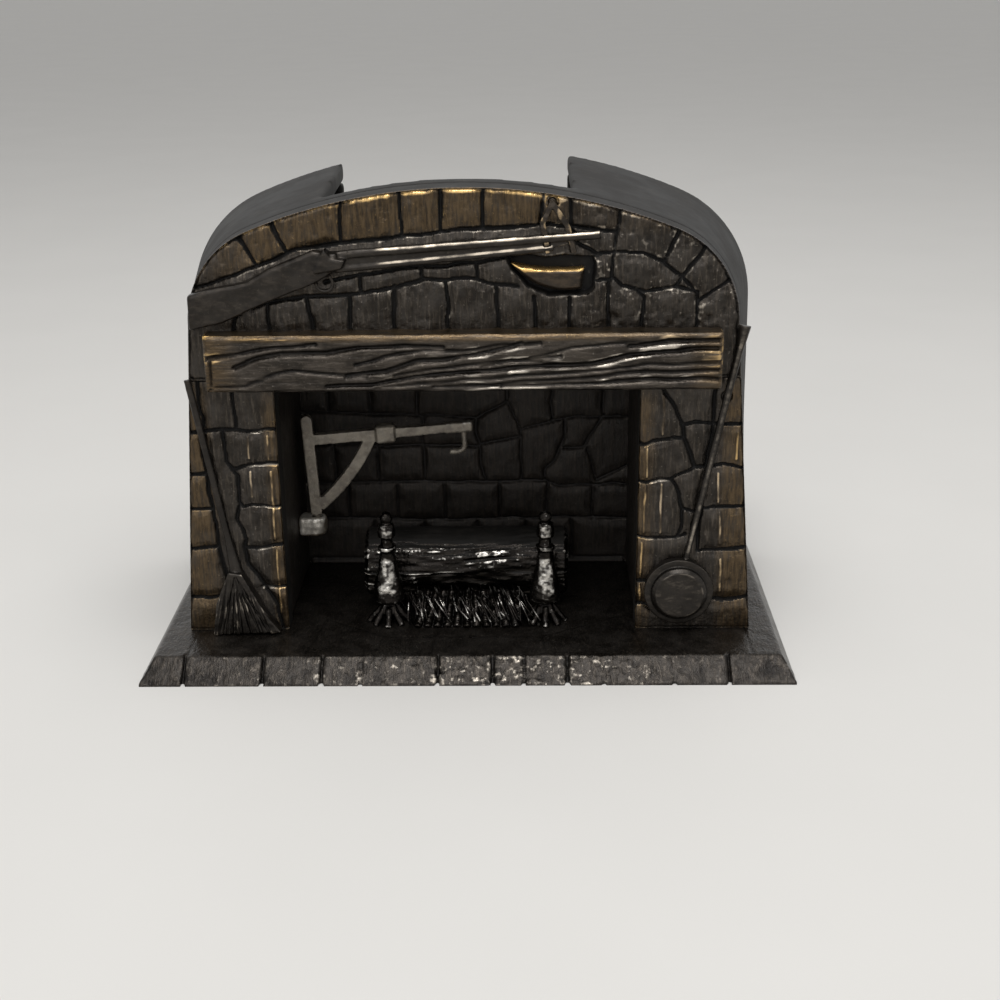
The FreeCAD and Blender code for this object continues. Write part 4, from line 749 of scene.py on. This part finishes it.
def hookSwell(places, normals):
    return ramp(places[:, 0], *cranePlan["hookFrom"]) * ramp(places[:, 2], *cranePlan["hookBelow"])


broomPlan = {"root": (-25.35, 14.0), "spread": 9, "drop": 0.12, "straw": ((0.16, 1, 1), 21, 0.16),
             "lit": (0.2, 0.6), "below": (8.4, 9.4, 1, 0)}


def strawGrooves(places, normals):  # furrows that fan out from the root
    fan = np.arctan2(places[:, 0] - broomPlan["root"][0], broomPlan["root"][1] - places[:, 2])
    spread = np.stack([fan * broomPlan["spread"], places[:, 2] * broomPlan["drop"], 0 * fan], axis=1)
    shown = ramp(-normals[:, 1], *broomPlan["lit"]) * ramp(places[:, 2], *broomPlan["below"])
    return noiseSum(spread, broomPlan["straw"]) * shown


darkTrim = {"skin": "trim", "slot": "dark_trim"}
blackIron = {"skin": "iron", "slot": "black_iron", "gild": 0.05}
pewter = {"skin": "pewter", "slot": "pewter", "voxel": 0.07}
andiron = {**blackIron, "voxel": 0.085, "dent": 0.07, "polishAndHighlight": andironHighlight, "swell": andironSwell,
           "patchMm": 0.32}
smallPieces = {
    "musket": {**darkTrim, "name": "MusketCasting", "voxel": 0.075, "gild": 0.2, "dent": 0.03, "soften": 3,
               "polishAndHighlight": gunHighlight, "patchMm": 1.6, "wornBefore": -11.5},
    "powder_horn": {"name": "PowderHornCasting", "skin": "trim", "slot": "antique_timber", "voxel": 0.06,
                    "gild": 1.0, "dent": 0.03, "soften": 10, "polishAndHighlight": hornHighlight},
    "horn_strap": {**darkTrim, "name": "HornStrapCasting", "voxel": 0.05, "gild": 0.6, "dent": 0.05,
                   "soften": 4, "polishAndHighlight": strapHighlight, "patchMm": 0.6},
    "hearth_broom": {**darkTrim, "name": "BroomCasting", "voxel": 0.075, "gild": 0.15, "dent": 0.015,
                     "soften": 2, "swell": strawGrooves},
    "warming_pan": {**darkTrim, "name": "WarmingPanCasting", "voxel": 0.08, "gild": 0.15, "dent": 0.01,
                    "shine": 0.5, "polishAndHighlight": panHighlight},
    "left_andiron": {**andiron, "name": "LeftAndironCasting"},
    "right_andiron": {**andiron, "name": "RightAndironCasting"},
    "kindling": {**blackIron, "name": "KindlingBed", "voxel": 0.1, "dent": 0.06, "shine": 0.3},
    "crane_bracket": {**pewter, "name": "CraneBracketCasting", "gild": 0.7, "dent": 0.06, "soften": 50,
                      "polishAndHighlight": footWearAndHighlight},
    "pot_crane": {**pewter, "name": "PotCraneCasting", "gild": 0.3, "dent": 0.03, "soften": 3,
                  "swell": hookSwell, "body": "crane"},
}
smallPlan = {"shine": 0.8, "patchMm": 1.0, "dentGrain": (0.55, 20), "wornRounds": 12, "most": 100000}
for node, plan in smallPieces.items():
    piece = voxelCopy(node, plan["name"], plan["voxel"], plan.get("soften", 1))
    mesh = piece.data
    if "wornBefore" in plan:  # only the stock and lock are rubbed soft
        places = points(mesh)
        worn = relaxed(places, edgePairs(mesh), smallPlan["wornRounds"])
        placeOf(mesh, np.where(places[:, :1] < plan["wornBefore"], worn, places))
    places = points(mesh)
    normals = points(mesh, "normal")
    swell = plan["swell"](places, normals) if "swell" in plan else 0.0
    dents = latticeNoise(places, *smallPlan["dentGrain"]) * plan["dent"]
    placeOf(mesh, places + normals * (dents + swell)[:, None])
    polishAndHighlight = plan["polishAndHighlight"](places, normals) if "polishAndHighlight" in plan else 0.0
    shine = plan.get("shine", smallPlan["shine"])
    markWearAndLight(piece, plan["gild"], shine, polishAndHighlight, patchMm=plan.get("patchMm", smallPlan["patchMm"]))
    lighten(piece, smallPlan["most"])
    settle(piece, plan["skin"], plan.get("body", "hearth"), plan["slot"], node)
print("small castings", len(smallPieces))

logPlan = {
    "voxel": 0.1, "most": 190000, "gild": 0.05, "shine": 1.1, "standMm": 0.07, "patchMm": (1.6, 0.8, 0.6),
    "axis": (-0.8, 6.8), "radius": 3.9, "twist": 0.05, "waver": ((6, 3, 1), 30, 0.9),
    "ridgeGrain": ((5.0, 0.5, 1), 31), "ridge": 0.24, "barkGrain": ((1.3, 0.36, 1), 32), "bark": 0.1,
    "front": (-0.1, 0.4), "frontUp": (0.55, 0.8, 1, 0), "least": 0.2,
    "barkHighlit": 0.4, "highlit": (0.05, 0.5, 0, 0.85),
    "broken": (((0.8, 0.35, 0.35), 33, 0.5), (0.22, 34, 0.5)), "brokenFade": (-0.3, 0.35), "shadedTopUp": 0.72,
}
piece = voxelCopy("fire_log", "FireLogBark", logPlan["voxel"])
mesh = piece.data
places = points(mesh)
normals = points(mesh, "normal")
turn = np.arctan2(places[:, 2] - logPlan["axis"][1], places[:, 1] - logPlan["axis"][0]) * logPlan["radius"]
unrolled = np.stack([places[:, 0], turn, 0 * turn], axis=1)
unrolled[:, 1] += noiseSum(unrolled, logPlan["waver"]) + places[:, 0] * logPlan["twist"]
ridges = latticeNoise(unrolled, *logPlan["ridgeGrain"])
bark = latticeNoise(unrolled, *logPlan["barkGrain"])
front = ramp(-normals[:, 1], *logPlan["front"]) * ramp(normals[:, 2], *logPlan["frontUp"])
shown = logPlan["least"] + (1 - logPlan["least"]) * front
placeOf(mesh, places + normals * ((ridges * logPlan["ridge"] + bark * logPlan["bark"]) * shown)[:, None])
broken = ramp(noiseSum(places, *logPlan["broken"]), *logPlan["brokenFade"])
# painted highlights on the front-facing ridges; the rub too is laid only on front faces
highlit = front * ramp(ridges + logPlan["barkHighlit"] * bark, *logPlan["highlit"]) * broken
markWearAndLight(piece, logPlan["gild"], logPlan["shine"] * front, highlit, standMm=logPlan["standMm"],
         patchMm=logPlan["patchMm"])
lighten(piece, logPlan["most"])
settle(piece, "iron", "hearth", "black_iron", "fire_log")
# the log's top faces get the dark matt skin: painted shade
paintedShadeFaces(piece, faceField(piece.data, "normal")[:, 2] > logPlan["shadedTopUp"])
print("log")


# Strands of kindling and broom straw, grown along two edges

def strandTree():
    tree = bpy.data.node_groups.new("StrandFan", "GeometryNodeTree")
    face = tree.interface
    sizes = (("Count", "Int"), ("Foot Start", "Vector"), ("Foot End", "Vector"), ("Head Start", "Vector"),
             ("Head End", "Vector"), ("Scatter", "Vector"), ("Bow", "Float"), ("Radius", "Float"),
             ("Tip", "Float"), ("Seed", "Int"), ("Material", "Material"))
    for name, kind in sizes:
        face.new_socket(name, in_out="INPUT", socket_type="NodeSocket" + kind)
    face.new_socket("Geometry", in_out="OUTPUT", socket_type="NodeSocketGeometry")
    given = addNode(tree, "NodeGroupInput")
    line = addNode(tree, "GeometryNodeMeshLine", {"Count": given["Count"]})[0]
    index = addNode(tree, "GeometryNodeInputIndex")[0]
    last = addNode(tree, "ShaderNodeMath", {0: given["Count"], 1: 1.0}, operation="SUBTRACT")[0]
    share = addNode(tree, "ShaderNodeMath", {0: index, 1: last}, operation="DIVIDE")[0]
    ends = []
    for start, end, shift in (("Foot Start", "Foot End", 0.0), ("Head Start", "Head End", 5.0)):
        spot = addNode(tree, "ShaderNodeMix", {0: share, 4: given[start], 5: given[end]},
                       data_type="VECTOR")[1]
        number = addNode(tree, "ShaderNodeMath", {0: given["Seed"], 1: shift}, operation="ADD")[0]
        loose = addNode(tree, "FunctionNodeRandomValue", {0: (-1, -1, -1), 1: (1, 1, 1), "Seed": number},
                        data_type="FLOAT_VECTOR")[0]
        moved = addNode(tree, "ShaderNodeVectorMath", {0: loose, 1: given["Scatter"], 2: spot},
                        operation="MULTIPLY_ADD")[0]
        ends.append(moved)
    along = addNode(tree, "ShaderNodeVectorMath", {0: ends[1], 1: ends[0]}, operation="SUBTRACT")[0]
    length = addNode(tree, "ShaderNodeVectorMath", {0: along}, operation="LENGTH")["Value"]
    turn = addNode(tree, "FunctionNodeAlignRotationToVector", {"Vector": along}, axis="Z")[0]
    feet = addNode(tree, "GeometryNodeSetPosition", {"Geometry": line, "Position": ends[0]})[0]
    bend = addNode(tree, "ShaderNodeCombineXYZ", {"Y": given["Bow"], "Z": 0.5})[0]
    stem = addNode(tree, "GeometryNodeCurveQuadraticBezier", {"Resolution": 7, "Start": (0, 0, 0),
                                                              "Middle": bend, "End": (0, 0, 1)})[0]
    stems = addNode(tree, "GeometryNodeInstanceOnPoints", {"Points": feet, "Instance": stem, "Rotation": turn,
                                                           "Scale": length})[0]
    curves = addNode(tree, "GeometryNodeRealizeInstances", {0: stems})[0]
    factor = addNode(tree, "GeometryNodeSplineParameter")[0]
    thin = addNode(tree, "ShaderNodeMix", {0: factor, 2: 1.0, 3: given["Tip"]})[0]
    tapered = addNode(tree, "GeometryNodeSetCurveRadius", {"Curve": curves, "Radius": thin})[0]
    ring = addNode(tree, "GeometryNodeCurvePrimitiveCircle", {"Resolution": 8, "Radius": given["Radius"]})[0]
    tube = addNode(tree, "GeometryNodeCurveToMesh", {"Curve": tapered, "Profile Curve": ring, "Scale": thin,
                                                     "Fill Caps": True})[0]
    whole = addNode(tree, "GeometryNodeRealizeInstances", {0: tube})[0]
    skin = addNode(tree, "GeometryNodeSetMaterial", {"Geometry": whole, "Material": given["Material"]})[0]
    addNode(tree, "NodeGroupOutput", {"Geometry": skin})
    return tree


def growStrands(name, tree, settings):
    piece = linkPiece(name, bpy.data.meshes.new(name))
    grow = piece.modifiers.new("grow", "NODES")
    grow.node_group = tree
    for item in tree.interface.items_tree:
        if item.in_out == "INPUT":
            grow[item.identifier] = settings[item.name]
    plainMesh(piece)
    return piece


strands = strandTree()
strandPieces = {
    "KindlingSticks": {
        "Count": 46, "Foot Start": (-6.2, -8.8, 2.45), "Foot End": (7.4, -8.8, 2.45),
        "Head Start": (-7.6, -5.3, 4.5), "Head End": (5.6, -5.3, 4.5), "Scatter": (0.9, 0.5, 0.3),
        "Bow": 0.3, "Radius": 0.16, "Tip": 0.45, "Seed": 3,
        "shine": 0.5, **blackIron},
    "KindlingTwigs": {
        "Count": 46, "Foot Start": (-5.8, -8.5, 2.8), "Foot End": (7.0, -8.5, 2.8),
        "Head Start": (-7.4, -4.9, 5.1), "Head End": (5.2, -4.9, 5.1), "Scatter": (1.2, 0.5, 0.35),
        "Bow": -0.28, "Radius": 0.12, "Tip": 0.45, "Seed": 8,
        "shine": 0.7, **blackIron},
    "BroomStraw": {
        "Count": 26, "Foot Start": (-27.7, -10.95, 2.5), "Foot End": (-21.1, -10.95, 2.6),
        "Head Start": (-25.75, -10.8, 9.4), "Head End": (-24.9, -10.8, 9.2), "Scatter": (0.12, 0.1, 0.12),
        "Bow": 0.03, "Radius": 0.17, "Tip": 0.6, "Seed": 5,
        "gild": 0.1, "shine": 0.3, **darkTrim},
}
strandWear = {"rounds": 3, "patchMm": 0.5}
for name, plan in strandPieces.items():
    piece = growStrands(name, strands, {**plan, "Material": skins[plan["skin"]]})
    markWearAndLight(piece, plan["gild"], plan["shine"], **strandWear)
    settle(piece, plan["skin"], "hearth", plan["slot"])
print("strands", len(strandPieces))


# Floor, light and camera

tablePlan = {"half": 6.0, "cloudMm": 25.0, "dark": "#d6d4d0", "light": "#dbd9d5", "rough": 0.7}


def paleFloor():
    material = bpy.data.materials.new("PaleTable")  # plain light table, barely mottled
    material.use_nodes = True
    tree = material.node_tree
    tree.nodes.clear()
    place = addNode(tree, "ShaderNodeTexCoord")["Object"]
    cloud = addNode(tree, "ShaderNodeTexNoise", {"Vector": place, "Scale": 1 / (tablePlan["cloudMm"] * mm),
                                                 "Detail": 3.0})[0]
    tone = addNode(tree, "ShaderNodeMix", {0: cloud, 6: linear(tablePlan["dark"]),
                                           7: linear(tablePlan["light"])}, data_type="RGBA")[2]
    shader = addNode(tree, "ShaderNodeBsdfPrincipled", {"Base Color": tone,
                                                        "Roughness": tablePlan["rough"]})[0]
    addNode(tree, "ShaderNodeOutputMaterial", {"Surface": shader})
    return material


half = tablePlan["half"]
corners = [(-half, -half, 0), (half, -half, 0), (half, half, 0), (-half, half, 0)]
sheet = bpy.data.meshes.new("TableTop")
sheet.from_pydata(corners, [], [(0, 1, 2, 3)])
sheet.materials.append(paleFloor())
table = linkPiece("TableTop", sheet)

skyPlan = {"colour": "#ffffff", "ambient": 0.4, "backdrop": 0.9}
world = bpy.data.worlds.new("Studio")
scene.world = world
world.use_nodes = True
sky = world.node_tree
sky.nodes.clear()
path = addNode(sky, "ShaderNodeLightPath")
mirrored = addNode(sky, "ShaderNodeMath", {0: path["Is Glossy Ray"], 1: path["Is Transmission Ray"]},
                   operation="MAXIMUM")[0]
seen = addNode(sky, "ShaderNodeMath", {0: path["Is Camera Ray"], 1: mirrored}, operation="MAXIMUM")[0]
white = linear(skyPlan["colour"])
ambient = addNode(sky, "ShaderNodeBackground", {"Color": white, "Strength": skyPlan["ambient"]})[0]
backdrop = addNode(sky, "ShaderNodeBackground", {"Color": white, "Strength": skyPlan["backdrop"]})[0]
choice = addNode(sky, "ShaderNodeMixShader", {0: seen, 1: ambient, 2: backdrop})[0]
addNode(sky, "ShaderNodeOutputWorld", {"Surface": choice})

lights = {
    "OverheadSoft": {"place": (0.02, -0.06, 0.36), "aim": (0, 0, 0.02), "size": 0.3, "energy": 0.75},
    "FrontFill": {"place": (-0.1, -0.5, 0.3), "aim": (0, 0, 0.025), "size": 0.4, "energy": 0.6},
    "OverheadGlint": {"place": (0.0, -0.13, 0.34), "aim": (0, 0, 0.025), "size": 0.07, "energy": 0.22},
}
for name, plan in lights.items():
    lamp = bpy.data.lights.new(name, "AREA")
    lamp.size = plan["size"]
    lamp.energy = plan["energy"]
    holder = bpy.data.objects.new(name, lamp)
    holder.location = plan["place"]
    aim = Vector(plan["aim"]) - Vector(plan["place"])
    holder.rotation_euler = aim.to_track_quat("-Z", "Y").to_euler()
    scene.collection.objects.link(holder)

cameraPlan = {  # its place in mm and its turns in radians, fitted to the photo
    "place": (6.3477, -160.1598, 74.7802), "pitch": 0.363445, "yaw": -0.018163, "roll": -0.011892,
    "lens": 54.0, "sensor": 36.0, "near": 0.005, "far": 10.0,
}
cosPitch, sinPitch = math.cos(cameraPlan["pitch"]), math.sin(cameraPlan["pitch"])
cosYaw, sinYaw = math.cos(cameraPlan["yaw"]), math.sin(cameraPlan["yaw"])
forward = Vector((sinYaw * cosPitch, cosYaw * cosPitch, -sinPitch))
right = Vector((cosYaw, -sinYaw, 0))
up = right.cross(forward)
cosRoll, sinRoll = math.cos(cameraPlan["roll"]), math.sin(cameraPlan["roll"])
sideways = right * cosRoll + up * sinRoll
upright = up * cosRoll - right * sinRoll
turned = Matrix((sideways, upright, -forward)).transposed().to_4x4()
eye = bpy.data.cameras.new("PhotoCamera")
eye.lens = cameraPlan["lens"]
eye.sensor_width = cameraPlan["sensor"]
eye.clip_start = cameraPlan["near"]
eye.clip_end = cameraPlan["far"]
camera = bpy.data.objects.new("PhotoCamera", eye)
camera.matrix_world = Matrix.Translation(Vector(cameraPlan["place"]) * mm) @ turned
scene.collection.objects.link(camera)
scene.camera = camera
scene.view_settings.view_transform = "Standard"
print("stage")
